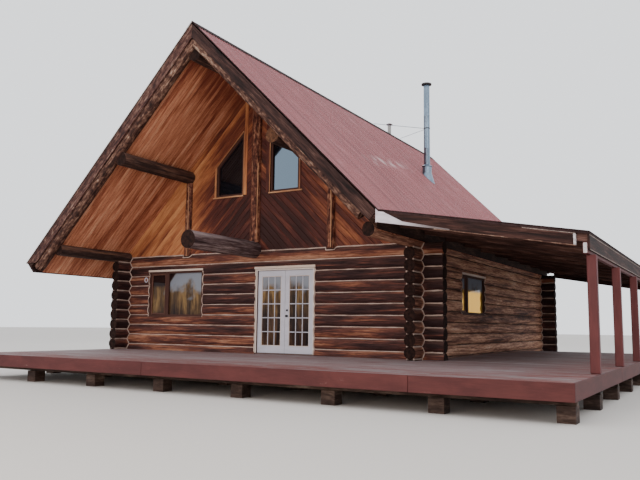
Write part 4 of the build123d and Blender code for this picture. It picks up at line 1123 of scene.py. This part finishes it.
boards = {
    "width": 0.135, "soffitWidth": 0.094, "face": 0.012, "groove": 0.010, "grooveDepth": 0.010,
    "eaveStop": 0.04,                             # the left soffit ends this far before the eave
    "grooveShadeTone": -1.6, "ridgeShadeTone": -1.5,        # painted shade: darker in the soffit's grooves and by the ridge
    "ridgeShadeReach": 0.75,                           # how far from the ridge the painted shade reaches
}


def slopeStrip(side, ring, starts, ends, tone, offset, stations=2, finish=0):
    # a board down one slope: ring is (depth, y) points, and each has its own start and end run
    ring, starts, ends = np.array(ring, float), np.asarray(starts, float), np.asarray(ends, float)
    share = np.linspace(0, 1, stations)[:, None]
    run = starts[None, :] + (ends - starts)[None, :] * share
    depth, y = np.broadcast_to(ring[:, 0], run.shape), np.broadcast_to(ring[:, 1], run.shape)
    grain = np.stack([run + offset, y + offset * 0.37, depth], -1)
    return patch(onSlope(side, run, depth, y), grain, tone, finish=finish)


def grooved(first, last, back, face):
    # a board's section: flat face with a small slope to each tongue, (across, out) points
    g = boards["groove"]
    low = face - np.sign(face - back) * boards["grooveDepth"]
    return [(first, back), (first, low), (first + g, face), (last - g, face), (last, low), (last, back)]


def makeSoffit():
    # boards down the underside of both slopes, from the front rake to the rear one, with painted
    # shade by the ridge and in the grooves
    roll = dice(21)
    depth, face = house["roofDepth"] - 0.002, house["roofDepth"] + boards["face"]
    verge = rake["boardThickness"] + rake["logSize"] + 2 * rake["gap"]
    y0, y1 = house["rakeFront"] + verge, house["rakeRear"] - verge
    count = int((y1 - y0) / boards["soffitWidth"])
    width = (y1 - y0) / count
    wall = (house["side"] + 0.012 + face * sin(house["pitch"])) / cos(house["pitch"])
    for side, name, low in ((-1, "left", house["eaveRun"] - boards["eaveStop"]), (1, "right", wall)):
        parts = []
        for number in range(count):
            y = y0 + number * width
            section = [(out, across) for across, out in grooved(y, y + width, depth, face)]
            top = [out * tan(house["pitch"]) for out, _ in section]
            part = slopeStrip(side, section, top, [low] * 6, roll.uniform(), roll.uniform(-30, 30), 12)
            # painted shade by the ridge and in each board's grooves
            away = np.abs(part["points"][..., 0]) / boards["ridgeShadeReach"] + roll.uniform(-0.25, 0.25)
            part["tone"] = part["tone"] + boards["ridgeShadeTone"] * np.clip(1.2 - away, 0, 1)
            part["tone"][:, [1, 4]] += boards["grooveShadeTone"]
            parts.append(part)
        makePiece(f"soffit_boards_{name}", parts, [soffitWood])


gableWindow = {"inner": 0.43, "width": 0.875, "sill": 4.06, "top": 5.76}


def paintedLightAt(x, z):
    # the gable boards' tone as painted light: orange at the left and high up as painted bounce light,
    # dark red brown low in the middle and at the right as painted shade
    high = np.clip((z - house["wallTop"]) / 3.2, 0, 1)
    left = 0.02 + 0.74 * np.clip((-x - 1.0) / 1.6, 0, 1) + 0.46 * high
    right = 0.02 + 0.36 * np.clip((x - 1.4) / 1.4, 0, 1) + 0.42 * high
    share = np.clip((x + 0.25) / 0.5, 0, 1)
    return left + (right - left) * share


def gableHalf(side, faceY, outward, seed):
    # boards parallel to the slope above, cut round the window: run is measured down the slope
    # and across square to it, from where the two soffits meet
    roll = dice(seed)
    root, apex = sqrt(2), house["soffitRidge"]
    longest = (apex - house["wallTop"]) * root
    sill, top = house["deckTop"] + gableWindow["sill"], house["deckTop"] + gableWindow["top"]
    inner, outer = gableWindow["inner"], gableWindow["inner"] + gableWindow["width"]
    windowLine = (apex - top - inner) / root
    width = windowLine / round(windowLine / boards["width"])
    share = np.linspace(0, 1, 7)[:, None]
    parts = []
    for number in range(int(longest / 2 / width) + 1):
        first, last = number * width, min((number + 1) * width, longest / 2)
        if last - first < 0.03:
            continue
        across, out = np.array(grooved(first, last, 0.0, boards["face"])).T
        starts, ends = across, longest - across
        cutFrom = inner * root + across
        cutTo = np.minimum(outer * root + across, (apex - sill) * root - across)
        cutTo = np.maximum(cutFrom, cutTo)
        pieces = [(starts, ends)]
        if first > windowLine - 0.001 and (cutTo - cutFrom).max() > 0.002:
            pieces = [(starts, cutFrom), (cutTo, ends)]
        for begin, stop in pieces:
            offset, lot = roll.uniform(-30, 30), roll.uniform(-0.06, 0.06)
            run = begin[None, :] + (stop - begin)[None, :] * share
            x, z = side * (run - across) / root, apex - (run + across) / root
            y = np.broadcast_to(faceY + outward * out, run.shape)
            grain = np.stack([run + offset, np.broadcast_to(across, run.shape) + offset * 0.37, y], -1)
            # each board's tone: painted light by place, with a random shift per board
            parts.append(patch(np.stack([x, y, z], -1), grain, np.clip(paintedLightAt(x, z) + lot, 0, 1)))
    return parts


def makeGableBoards():
    front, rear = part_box("gable_front")[0].y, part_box("gable_rear")[1].y
    for name, y, outward, seed in (("front", front, -1, 31), ("rear", rear, 1, 33)):
        parts = gableHalf(-1, y, outward, seed) + gableHalf(1, y, outward, seed + 1)
        makePiece(f"gable_boards_{name}", parts, [gableWood])


makeSoffit()
makeGableBoards()
print("boards nailed")


# Roof metal and its edges

metal = {"pitch": 0.102, "rib": 0.019, "ribTop": 0.014, "ribFoot": 0.038}


def ribProfile(low, high):
    # stations across the ribs and how far each lies below the ribs' tops
    count = int(round((high - low) / metal["pitch"]))
    pitch = (high - low) / count
    half, foot = metal["ribTop"] / 2, metal["ribFoot"] / 2
    offsets = np.array([-foot, -half, half, foot])
    centres = low + (np.arange(count) + 0.5) * pitch
    places = (centres[:, None] + offsets[None, :]).ravel()
    below = np.tile([metal["rib"], 0.0, 0.0, metal["rib"]], count)
    return np.concatenate([[low], places, [high]]), np.concatenate([[metal["rib"]], below, [metal["rib"]]])


def ribbedSheet(stations):
    # the grid of a ribbed sheet from rake to rake: places along the ribs and across them, and
    # depths below the ribs' tops, first over the sheet and then back under it
    y, below = ribProfile(house["rakeFront"], house["rakeRear"])
    count = len(stations)
    flat = np.full((len(y), count), house["metalDepth"])
    depth = np.concatenate([np.repeat(below[:, None], count, 1), flat], 1)
    along = np.concatenate([stations, stations[::-1]])
    return np.broadcast_to(along, depth.shape), np.broadcast_to(y[:, None], depth.shape), depth


def makeRoofMetal():
    # ribs run down the slope, and the sheet lies within the roof metal's thickness
    for side, name, last in (
        (-1, "left", house["eaveRun"]), (1, "right", house["porchStart"] / cos(house["pitch"])),
    ):
        run, place, depth = ribbedSheet(np.linspace(0, 1, 8) * last)
        run = np.maximum(run, depth * tan(house["pitch"]) + 0.0002)
        grain = np.stack([run, place + side * 20, depth], -1)
        sheet = patch(onSlope(side, run, depth, place), grain, 0.5)
        makePiece(f"roofing_{name}", [sheet], [roofEnamel],
                  replaces=[f"roof_metal_{name}"], smooth=20)


def makeEdges():
    # barge boards under the rakes, with a folded metal trim along their top edge; on the right the board
    # and trim take darker copies as painted shade
    thick, deep, top = rake["boardThickness"], rake["boardDepth"], house["metalDepth"]
    slant, rise, across = tan(house["pitch"]), sin(house["pitch"]), cos(house["pitch"])
    porchRun = house["porchStart"] / across
    parts, trim = [], []
    for y, out in ((house["rakeFront"], -1), (house["rakeRear"], 1)):
        inner, groove, skin, lap = y - out * thick, y - out * 0.004, y - out * 0.0015, y - out * 0.03
        board = [(top, y), (top, inner), (deep, inner), (deep - 0.004, y)]
        board += [(0.16, y), (0.155, groove), (0.15, y)]
        lip = [(0.002, lap), (0.0, y), (0.045, y), (0.045, skin), (0.003, skin), (0.004, lap)]
        depth, lipDepth = np.array(board)[:, 0], np.array(lip)[:, 0]
        level = (house["ridge"] - rake["level"] - depth * across) / rise
        for side, ends, stop, tone in (
            (-1, house["eaveRun"] - (depth - top) * slant - top, house["eaveRun"], 0.75),
            (1, np.minimum(porchRun, level), porchRun, 0.5),
        ):
            # the right side takes the darker board and the dark trim: painted shade
            finish = max(side, 0)
            starts = depth * slant + 0.0003
            parts.append(slopeStrip(side, board, starts, ends, tone, 11.0 * side + y, 14, finish))
            trim.append(slopeStrip(side, lip, lipDepth * slant + 0.0003, [stop] * 6, 0.5, 0.0, finish=finish))
    makePiece("barge_boards_weathered", parts, [bargeWood, darkBargeWood],
              replaces=["barge_boards"])
    makePiece("rake_trim", trim, [edgeTrim, darkTrim])


makeRoofMetal()
makeEdges()
print("roof covered")


# Deck

deck = {
    "board": 0.14, "gap": 0.006, "thick": 0.038, "edge": 0.038, "clear": 0.006,
    "cornerEnd": 0.28,                            # up to this Y the corner logs shorten the boards
    "edgeLength": 4.4, "joints": (0.824, 6.22),   # the front edge's joints along X
}


def makeDeck():
    # boards along X with small gaps, stepped round the corner logs
    roll = dice(51)
    parts = []
    top, clear, side = house["deckTop"], deck["clear"], house["side"]
    low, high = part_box("deck_front")
    left, right, y, rear = low.x, high.x, low.y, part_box("deck_side")[1].y
    inside = side - house["course"] - clear
    stepped = [(left, -side - clear), (-inside, inside), (side + clear, right)]
    while y < rear - 0.05:
        y1 = min(y + deck["board"] - deck["gap"], rear)
        if y1 <= -clear:
            spans = stepped if y1 > -house["crossing"] - clear else [(left, right)]
        elif y < -clear - 0.02:
            y1, spans = -clear, stepped
        elif y < deck["cornerEnd"]:
            spans = [(house["logEnd"] + clear, right)]
        else:
            spans = [(side + clear, right)]
        for cut, end in spans:
            while cut < end - 0.01:
                length = roll.uniform(3.0, 4.8)
                stop = end if end - cut < 5.0 else cut + length
                lift = roll.uniform(-0.0015, 0.0)
                parts.append(box((cut, y, top - deck["thick"]), (stop - 0.002, y1, top + lift),
                                 roll.uniform(), offset=roll.uniform(-20, 20)))
                cut = stop
        y += deck["board"]
    makePiece("deck_boards", parts, [deckPaint], replaces=["deck_front", "deck_side"])


def makeDeckEdge():
    # edge boards in lengths of about four metres, butted with a dark joint
    roll = dice(52)
    low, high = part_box("deck_fascia")
    t = deck["edge"]
    parts = []
    for along, start, stop, line in (
        (0, low.x, high.x, (low.y, low.y + t)),
        (1, low.y + t, high.y - t, (high.x - t, high.x)),
        (1, low.y + t, -house["crossing"] - 2 * deck["clear"], (low.x, low.x + t)),
        (0, house["side"] + 0.036, high.x, (high.y - t, high.y)),
    ):
        count = max(1, round((stop - start) / deck["edgeLength"]))
        joints = np.linspace(start, stop, count + 1)
        if line[0] == low.y:
            joints[1:3] = deck["joints"]
        for number in range(count):
            a0, a1 = joints[number], joints[number + 1] - (0.004 if number < count - 1 else 0)
            corners = ((a0, line[0], low.z), (a1, line[1], high.z))
            if along == 1:
                corners = ((line[0], a0, low.z), (line[1], a1, high.z))
            parts.append(box(*corners, roll.uniform(), 0.005, along, offset=roll.uniform(-20, 20)))
    makePiece("deck_edge_boards", parts, [fasciaPaint], replaces=["deck_fascia"])


makeDeck()
makeDeckEdge()
print("deck laid")


# Porch roof, posts and edge boards

porch = {
    "slope": 0.17, "skin": 0.045, "board": 0.14, "rafters": 12, "rafterWidth": 0.06, "rafterDepth": 0.1395,
    "posts": 6, "postEase": 0.013,
    "edge": 0.038, "lip": 0.058, "hair": 0.011, "line": 0.016,
    "stop": 8.285,                                # where the front edge board ends along X
}


def porchTop(x, drop=0.0):
    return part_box("porch_roof")[1].z - porch["slope"] * (x - house["porchStart"]) - drop


def porchBar(x0, x1, y0, y1, drop0, drop1, tone=0.5, along=0, ease=0.006, offset=0.0, finish=0):
    # a timber that follows the porch roof's slope, drop0 and drop1 below its top
    part = box((x0, y0, -drop1), (x1, y1, -drop0), tone, ease, along, finish, offset)
    part["points"][..., 2] += porchTop(part["points"][..., 0])
    return part


def makePorchRoof():
    roll = dice(61)
    start, edge = house["porchStart"], house["porchEdge"]
    front, rear = house["rakeFront"], house["rakeRear"]
    x, place, drop = ribbedSheet(np.linspace(start, edge, 6))
    points = np.stack([x, place, porchTop(x, drop)], -1)
    sheet = patch(points, np.stack([x + 7, place + 3, drop], -1), 0.5)
    makePiece("porch_roofing", [sheet], [roofEnamel], replaces=["porch_roof"], smooth=20)
    parts = []
    joints = np.linspace(start, edge, int((edge - start) / porch["board"]) + 1)
    for x0, x1 in zip(joints, joints[1:]):
        parts.append(porchBar(x0, x1 - 0.005, front + 0.002, rear - 0.002, house["metalDepth"] + 0.0005,
                              porch["skin"], roll.uniform(), 1, 0.003, roll.uniform(-20, 20)))
    makePiece("porch_ceiling_boards", parts, [porchWood])


def makePorchFrame():
    roll = dice(62)
    low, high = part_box("porch_rafters")
    width, top = porch["rafterWidth"], porch["skin"] + 0.0005
    parts = []
    for y in np.linspace(low.y, high.y - width, porch["rafters"]):
        parts.append(porchBar(low.x, high.x, y, y + width, top, top + porch["rafterDepth"], roll.uniform(),
                              offset=roll.uniform(-20, 20)))
    makePiece("porch_rafter_timbers", parts, [porchWood], replaces=["porch_rafters"])

    beam = box(*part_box("porch_beam"), 0.75, 0.008, 1, offset=3.0)
    beam["capFinish"] = 1
    makePiece("porch_beam_timber", [beam], [redPaint, paleFlashing], replaces=["porch_beam"])

    low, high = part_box("porch_posts")
    size = high.x - low.x
    parts = []
    for number, y in enumerate(np.linspace(low.y, high.y - size, porch["posts"])):
        foot = house["deckTop"] if number < porch["posts"] - 1 else 0.0
        parts.append(box((low.x, y, foot), (high.x, y + size, high.z), roll.uniform(), porch["postEase"], 2,
                         offset=roll.uniform(-20, 20)))
    makePiece("porch_post_timbers", parts, [redPaint], replaces=["porch_posts"])


def makePorchEdges():
    # edge boards with a dark metal lip over them, and pale weathered lines along both edges
    start, edge, stop = house["porchStart"], house["porchEdge"], porch["stop"]
    front, rear = house["rakeFront"], house["rakeRear"]
    t, lip, hair, skin = porch["edge"], porch["lip"], porch["hair"], porch["skin"] + 0.0004
    timbers, lips, lines, worn = [], [], [], []
    for y, out, last, deep in ((front, -1, stop, 0.265), (rear, 1, edge, 0.34)):
        timbers.append(porchBar(start + 0.0004, last, y - out * 0.0025, y - out * t, skin, deep - 0.004,
                                0.35, 0, 0.004, 5.0))
        for parts, x0, x1, thick, drop0, drop1, tone, ease in (
            (lips, start, edge, 0.003, hair, lip, 0.5, 0.0008),
            (lips, start, edge, 0.004, 0.0, hair, 0.7, 0.0008),
            (lines, last - 0.85, last, 0.006, lip, lip + 0.013, 0.7, 0.0008),
            (worn, start + 1.1, last, 0.012, deep - 0.014, deep, 0.9, 0.002),
        ):
            parts.append(porchBar(x0, x1, y, y - out * thick, drop0, drop1, tone, 0, ease))
    low, high = porchTop(edge, 0.305), porchTop(edge, skin)
    timbers.append(box((edge - t, front, low), (edge - 0.003, rear - t, high), 0.55, 0.004, 1, offset=9.0))
    for parts, thick, z0, z1, tone, ease in (
        (lips, 0.003, porchTop(edge, lip), porchTop(edge, 0.002), 0.5, 0.0008),
        (lines, 0.004, porchTop(edge, lip + porch["line"]), porchTop(edge, lip), 0.8, 0.001),
        (lines, 0.004, low - 0.0004, low + porch["line"], 0.8, 0.001),
    ):
        parts.append(box((edge - thick, front + 0.002, z0), (edge, rear - 0.002, z1), tone, ease, 1))
    boardEnd = porchBar(stop - 0.045, stop + 0.004, front, front + t, 0.062, 0.262, 1.0, 2, 0.010)
    makePiece("porch_edge_boards", timbers, [porchEdgeWood], replaces=["porch_fascia"])
    makePiece("porch_edge_lips", lips, [darkTrim])
    makePiece("porch_edge_lines", lines, [paleEdge])
    makePiece("porch_edge_wear", worn, [rakeWood])
    makePiece("porch_board_end", [boardEnd], [paleFlashing])


makePorchRoof()
makePorchFrame()
makePorchEdges()
print("porch built")


# Door leaves, frame and casing

doorLook = {"bar": 0.022, "proud": 0.009, "bead": 0.014, "columns": 3, "rows": 5}


def barPair(low, high, along):
    # a glazing bar on both faces of a pane, let a little into it
    proud, let = doorLook["proud"], 0.0015
    return [
        box((low[0], low[1] - proud, low[2]), (high[0], low[1] + let, high[2]), along=along),
        box((low[0], high[1] - let, low[2]), (high[0], high[1] + proud, high[2]), along=along),
    ]


def makeDoorBars():
    half, lip = doorLook["bar"] / 2, doorLook["bead"]
    for name in ("left", "right"):
        low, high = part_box(f"door_glass_{name}")
        bars, beads = [], []
        for x in np.linspace(low.x, high.x, doorLook["columns"] + 1)[1:-1]:
            bars += barPair((x - half, low.y, low.z), (x + half, high.y, high.z), 2)
        for z in np.linspace(low.z, high.z, doorLook["rows"] + 1)[1:-1]:
            bars += barPair((low.x, low.y, z - half), (high.x, high.y, z + half), 0)
        for x0, x1, z0, z1, along in (
            (low.x, low.x + lip, low.z, high.z, 2), (high.x - lip, high.x, low.z, high.z, 2),
            (low.x + lip, high.x - lip, low.z, low.z + lip, 0),
            (low.x + lip, high.x - lip, high.z - lip, high.z, 0),
        ):
            beads += barPair((x0, low.y - 0.003, z0), (x1, high.y + 0.003, z1), along)
        body = f"door_{name}_leaf"
        makePiece(f"door_bars_{name}", bars, [whitePaint], body)
        makePiece(f"door_beads_{name}", beads, [palePutty], body)


def makeDoorCasing():
    # a pale head board over the doors, and a strip up their left side
    low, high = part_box("door_frame")
    left, right, top, back = low.x, high.x, high.z, 0.05
    parts = [
        box((left - 0.035, -0.014, top), (right + 0.04, back, top + 0.062), 0.8, 0.006, 0, offset=2.0),
        box((left - 0.022, 0.004, low.z + 0.02), (left + 0.004, back, top + 0.002), 0.7, 0.005, 2,
            offset=4.0),
    ]
    makePiece("door_casing", parts, [palePutty])


makeDoorBars()
makeDoorCasing()
print("doors glazed")


# Window trim

windowLook = {
    "sash": 0.042, "frame": 0.055, "head": 0.048, "proud": 0.018, "lap": 0.02,
    "sashDepth": (-0.0765, -0.05),                # back and front, behind the wall's face
}


def wallBox(along, face, outward, a0, a1, out0, out1, z0, z1, tone, direction, offset=0.0):
    # a box on a wall: a0 to a1 along it, out0 to out1 outside its face plane
    b0, b1 = face + outward * out0, face + outward * out1
    if along == "X":
        low, high = (a0, b0, z0), (a1, b1, z1)
        axis = 0 if direction == "across" else 2
    else:
        low, high = (b0, a0, z0), (b1, a1, z1)
        axis = 1 if direction == "across" else 2
    return box(low, high, tone, 0.005, axis, offset=offset)


def makeWindowTrim():
    # a pale head board over each window, a brown sill, and a sash in its narrow side
    heads, sashes = [], []
    bar, wide, lap = windowLook["sash"], windowLook["frame"], windowLook["lap"]
    proud, head = windowLook["proud"], windowLook["head"]
    for name, along, face, outward, mullion in (
        ("front", "X", 0.0, -1, 0.655), ("rear", "X", house["length"], 1, 0.8),
        ("right", "Y", house["side"], 1, 0.455), ("left", "Y", -house["side"], -1, 0.8),
    ):
        lo, hi, z0, z1 = windowHoles[name]
        wall = (along, face, outward)
        heads.append(wallBox(*wall, lo - lap, hi + lap, -0.05, proud, z1 - 0.004, z1 + head, 0.8, "across",
                             3.0))
        sashes.append(wallBox(*wall, lo, hi, -0.06, 0.006, z0 - lap, z0 + 0.008, 0.5, "across", 6.0))
        a0, a1, b0, b1 = lo + wide, lo + mullion - 0.06, z0 + wide, z1 - wide
        for p0, p1, q0, q1, way in (
            (a0, a0 + bar, b0, b1, "up"), (a1 - bar, a1, b0, b1, "up"),
            (a0 + bar, a1 - bar, b0, b0 + bar, "across"), (a0 + bar, a1 - bar, b1 - bar, b1, "across"),
        ):
            sashes.append(wallBox(*wall, p0, p1, *windowLook["sashDepth"], q0, q1, 0.5, way, p0))
    makePiece("window_head_boards", heads, [palePutty])
    makePiece("window_sashes", sashes, [sashWood])


def strip(start, end, y, thick, width, tone, offset):
    # a flat strip on a gable, from one (x, z) point to another, its width to the left of the way
    start, run = np.array(start), np.subtract(end, start)
    length = np.hypot(*run)
    run = run / length
    part = box((0, 0, 0), (length, width, thick), tone, offset=offset)
    a, b, c = (part["points"][..., n] for n in range(3))
    x, z = start[0] + a * run[0] - b * run[1], start[1] + a * run[1] + b * run[0]
    part["points"] = np.stack([x, y + c, z], -1)
    return part


def makeGableTrim():
    # thin pale strips round each gable window, a wider sill, and plain boards beside it
    pale, plain = [], []
    inner, outer = gableWindow["inner"], gableWindow["inner"] + gableWindow["width"]
    sill, top = house["deckTop"] + gableWindow["sill"], house["deckTop"] + gableWindow["top"]
    shoulder = top - gableWindow["width"]
    for face, out, seed in ((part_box("gable_front")[0].y, -1, 81), (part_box("gable_rear")[1].y, 1, 82)):
        roll = dice(seed)
        y = face + out * boards["face"]
        for side in (-1, 1):
            ring = [(side * x, z) for x, z in ((outer, sill), (outer, shoulder), (inner, top), (inner, sill))]
            for start, end in zip(ring, ring[1:]):
                pale.append(strip(start, end, y, out * 0.014, -side * 0.026, 0.5, roll.uniform(-9, 9)))
            pale.append(strip((side * (inner - 0.03), sill), (side * (outer + 0.10), sill), y, out * 0.03,
                              -side * 0.034, 0.8, 1.0))
            for x0, x1, high, tone in (
                (outer + 0.028, outer + 0.060, shoulder - 0.030, 0.9),
                (inner - 0.125, inner - 0.028, house["soffitRidge"] - inner + 0.022, 0.75),
            ):
                # lighter on the left and dark on the right: painted light as on the gable boards
                plain.append(box((side * x0, y, sill + 0.002), (side * x1, y + out * 0.012, high),
                                 tone if side < 0 else 0.25, 0.003, 2, offset=roll.uniform(-9, 9)))
    makePiece("gable_window_trim", pale, [trimWood])
    makePiece("gable_casings", plain, [gableWood])


makeWindowTrim()
makeGableTrim()
print("windows trimmed")


# Flue, ridge cap and small fittings


def lathe(place, profile, count=40):
    # a turned piece about an upright axis, from (radius, height) points
    turn = np.arange(count) * 2 * pi / count
    r, z = np.array(profile, float).T[..., None]
    points = np.stack(np.broadcast_arrays(place[0] + r * np.cos(turn), place[1] + r * np.sin(turn), z), -1)
    return patch(points, points)


flue = {
    "seams": (6.95, 8.02), "seam": (0.002, 0.014, 0.02),    # proud, half its flat, half its foot
    "band": (7.585, 7.615), "bandProud": 0.005, "collarProud": 0.052,
}


def makeFlue():
    # the pipe with its rolled seams, the rain cap, and the storm collar and clamp round the pipe
    low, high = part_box("flue_pipe")
    place, radius = ((low.x + high.x) / 2, (low.y + high.y) / 2), (high.x - low.x) / 2
    proud, flat, foot = flue["seam"]
    sheet = radius - proud
    pipe = [(sheet, low.z)]
    for seam in flue["seams"]:
        pipe += [(sheet, seam - foot), (radius, seam - flat), (radius, seam + flat), (sheet, seam + foot)]
    pipe += [(sheet, high.z - 0.01), (sheet - 0.004, high.z)]
    low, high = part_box("flue_cap")
    wide = (high.x - low.x) / 2
    cap = [
        (wide - 0.012, low.z + 0.0006), (wide - 0.002, low.z + 0.002), (wide, low.z + 0.010),
        (wide, low.z + 0.038), (wide - 0.006, low.z + 0.044), (wide * 0.55, high.z - 0.010),
        (wide * 0.5, high.z - 0.002), (wide * 0.2, high.z),
    ]
    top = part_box("flue_flashing")[1].z
    close, out = radius + 0.0015, radius + flue["collarProud"]
    collar = [
        (close, top - 0.075), (out - 0.002, top - 0.07), (out, top - 0.064), (radius + 0.006, top - 0.012),
        (close, top - 0.006),
    ]
    (z0, z1), out = flue["band"], radius + flue["bandProud"]
    clamp = [(radius + 0.001, z0), (out, z0 + 0.003), (out, z1 - 0.003), (radius + 0.001, z1)]
    makePiece("flue_pipe_sheet", [lathe(place, pipe)], [galvanised], replaces=["flue_pipe"])
    makePiece("flue_cap_sheet", [lathe(place, cap)], [capMetal], replaces=["flue_cap"])
    makePiece("flue_collars", [lathe(place, collar), lathe(place, clamp)], [capMetal])


ridge = {
    "sheets": 5, "gap": 0.003, "reach": 0.25, "crown": 0.02,
    "under": 0.0005, "thick": 0.006, "middle": 0.003,       # heights square to the slope
}


def makeRidgeCap():
    # folded sheets along the ridge, butted end to end, with a rolled crown: each point of the
    # section is a reach down the slope and a height square to it
    low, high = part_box("ridge_cap")
    top, rise, across = house["ridge"], sin(house["pitch"]), cos(house["pitch"])
    half = []
    for a, up in (
        (ridge["reach"], ridge["under"]), (ridge["reach"], ridge["thick"]), (ridge["crown"], ridge["thick"]),
    ):
        half.append((a * across + up * rise, top - a * rise + up * across + 0.0005))
    crown, fold = ((0.0, top + up * across + up * 0.4) for up in (ridge["middle"], ridge["under"]))
    ring = np.array([*half, crown, *((-x, z) for x, z in half[::-1]), fold])
    joints = np.linspace(low.y, high.y, ridge["sheets"] + 1)
    parts = []
    for number, (y0, y1) in enumerate(zip(joints, joints[1:])):
        gap = ridge["gap"] if number < ridge["sheets"] - 1 else 0
        y = np.array([y0, y0 + 0.02, y1 - 0.02, y1 - gap])
        points = np.stack(np.broadcast_arrays(ring[:, 0], y[:, None], ring[:, 1]), -1)
        parts.append(patch(points, points[..., [1, 0, 2]]))
    makePiece("ridge_sheets", parts, [darkTrim], replaces=["ridge_cap"], smooth=25)


vent = {
    "above": 0.57, "slim": 0.54,                  # height over the ridge, radius as a share of the CAD's
    "cap": 0.120, "capHigh": 0.055, "gap": 0.035, "neck": 0.040,
}


def makeVent():
    # a plumbing vent behind the ridge, tall enough to stand above it, with a rain cap on a neck
    low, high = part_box("roof_vent")
    place = ((low.x + high.x) / 2, (low.y + high.y) / 2)
    radius = (high.x - low.x) / 2 * vent["slim"]
    wide, top = vent["cap"], house["ridge"] + vent["above"]
    under = top - vent["capHigh"]
    rim = under - vent["gap"]
    pipe = [(radius, low.z), (radius, rim - 0.004), (radius - 0.004, rim)]
    neck = [(vent["neck"], rim + 0.0003), (vent["neck"], under - 0.0003)]
    cap = [(wide - 0.01, under), (wide, under + 0.004), (wide, under + 0.016)]
    cap += [(wide * 0.55, top - 0.008), (wide * 0.2, top)]
    makePiece("roof_vent_pipe", [lathe(place, pipe, 28)], [ventPipe], replaces=["roof_vent"])
    makePiece("roof_vent_cap", [lathe(place, neck, 20), lathe(place, cap, 28)], [ventCap])


ornament = {"x": -3.70, "y": -0.012, "above": 1.92, "size": 0.052, "thick": 0.013, "tall": 1.15}


def makeOrnament():
    # the small white ring that hangs beside the front window
    centre = np.array([ornament["x"], ornament["y"], house["deckTop"] + ornament["above"]])
    around, section = 32, 12
    i, j = np.meshgrid(np.arange(around), np.arange(section), indexing="ij")
    turn, wrap = i * 2 * pi / around, j * 2 * pi / section
    thick = ornament["thick"]
    r = ornament["size"] + thick * np.cos(wrap)
    points = np.stack([r * np.cos(turn), thick * np.sin(wrap), r * ornament["tall"] * np.sin(turn)], -1)
    points = centre + points
    i1, j1 = (i + 1) % around, (j + 1) % section
    faces = np.stack([p * section + q for p, q in ((i, j), (i, j1), (i1, j1), (i1, j))], -1).reshape(-1, 4)
    mesh = bpy.data.meshes.new("wall_ring")
    mesh.from_pydata(points.reshape(-1, 3).tolist(), [], faces[:, ::-1].tolist())
    mesh.polygons.foreach_set("use_smooth", np.ones(len(faces), bool))
    mesh.materials.append(whitePaint)
    ring = bpy.data.objects.new("wall_ring", mesh)
    bpy.context.scene.collection.objects.link(ring)
    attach(ring, "house")


makeFlue()
makeRidgeCap()
makeVent()
makeOrnament()
print("fittings added")


# CAD nodes that keep their shape

for names, material in (
    (["foundation"], concrete), (["floor", "loft_floor", "gable_front", "gable_rear"], roughWood),
    (["roof_left", "roof_right"], sheathing), (["eave_fascia"], darkTrim),
    (["porch_flashing"], flashingPaint), (["door_frame"], jambPaint),
    (["deck_joists", "deck_bearers", "deck_piers"], roughWood),
    (["door_left", "door_right"], whitePaint), (["door_glass_left", "door_glass_right"], paneGlass),
    (["door_handle"], blackHardware), (["window_frames"], sashWood), (["window_glass"], paneGlass),
    (["flue_flashing", "flue_braces"], galvanised),
):
    for name in names:
        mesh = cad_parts[name].data
        mesh.materials.clear()
        mesh.materials.append(material)
print("frame finished")
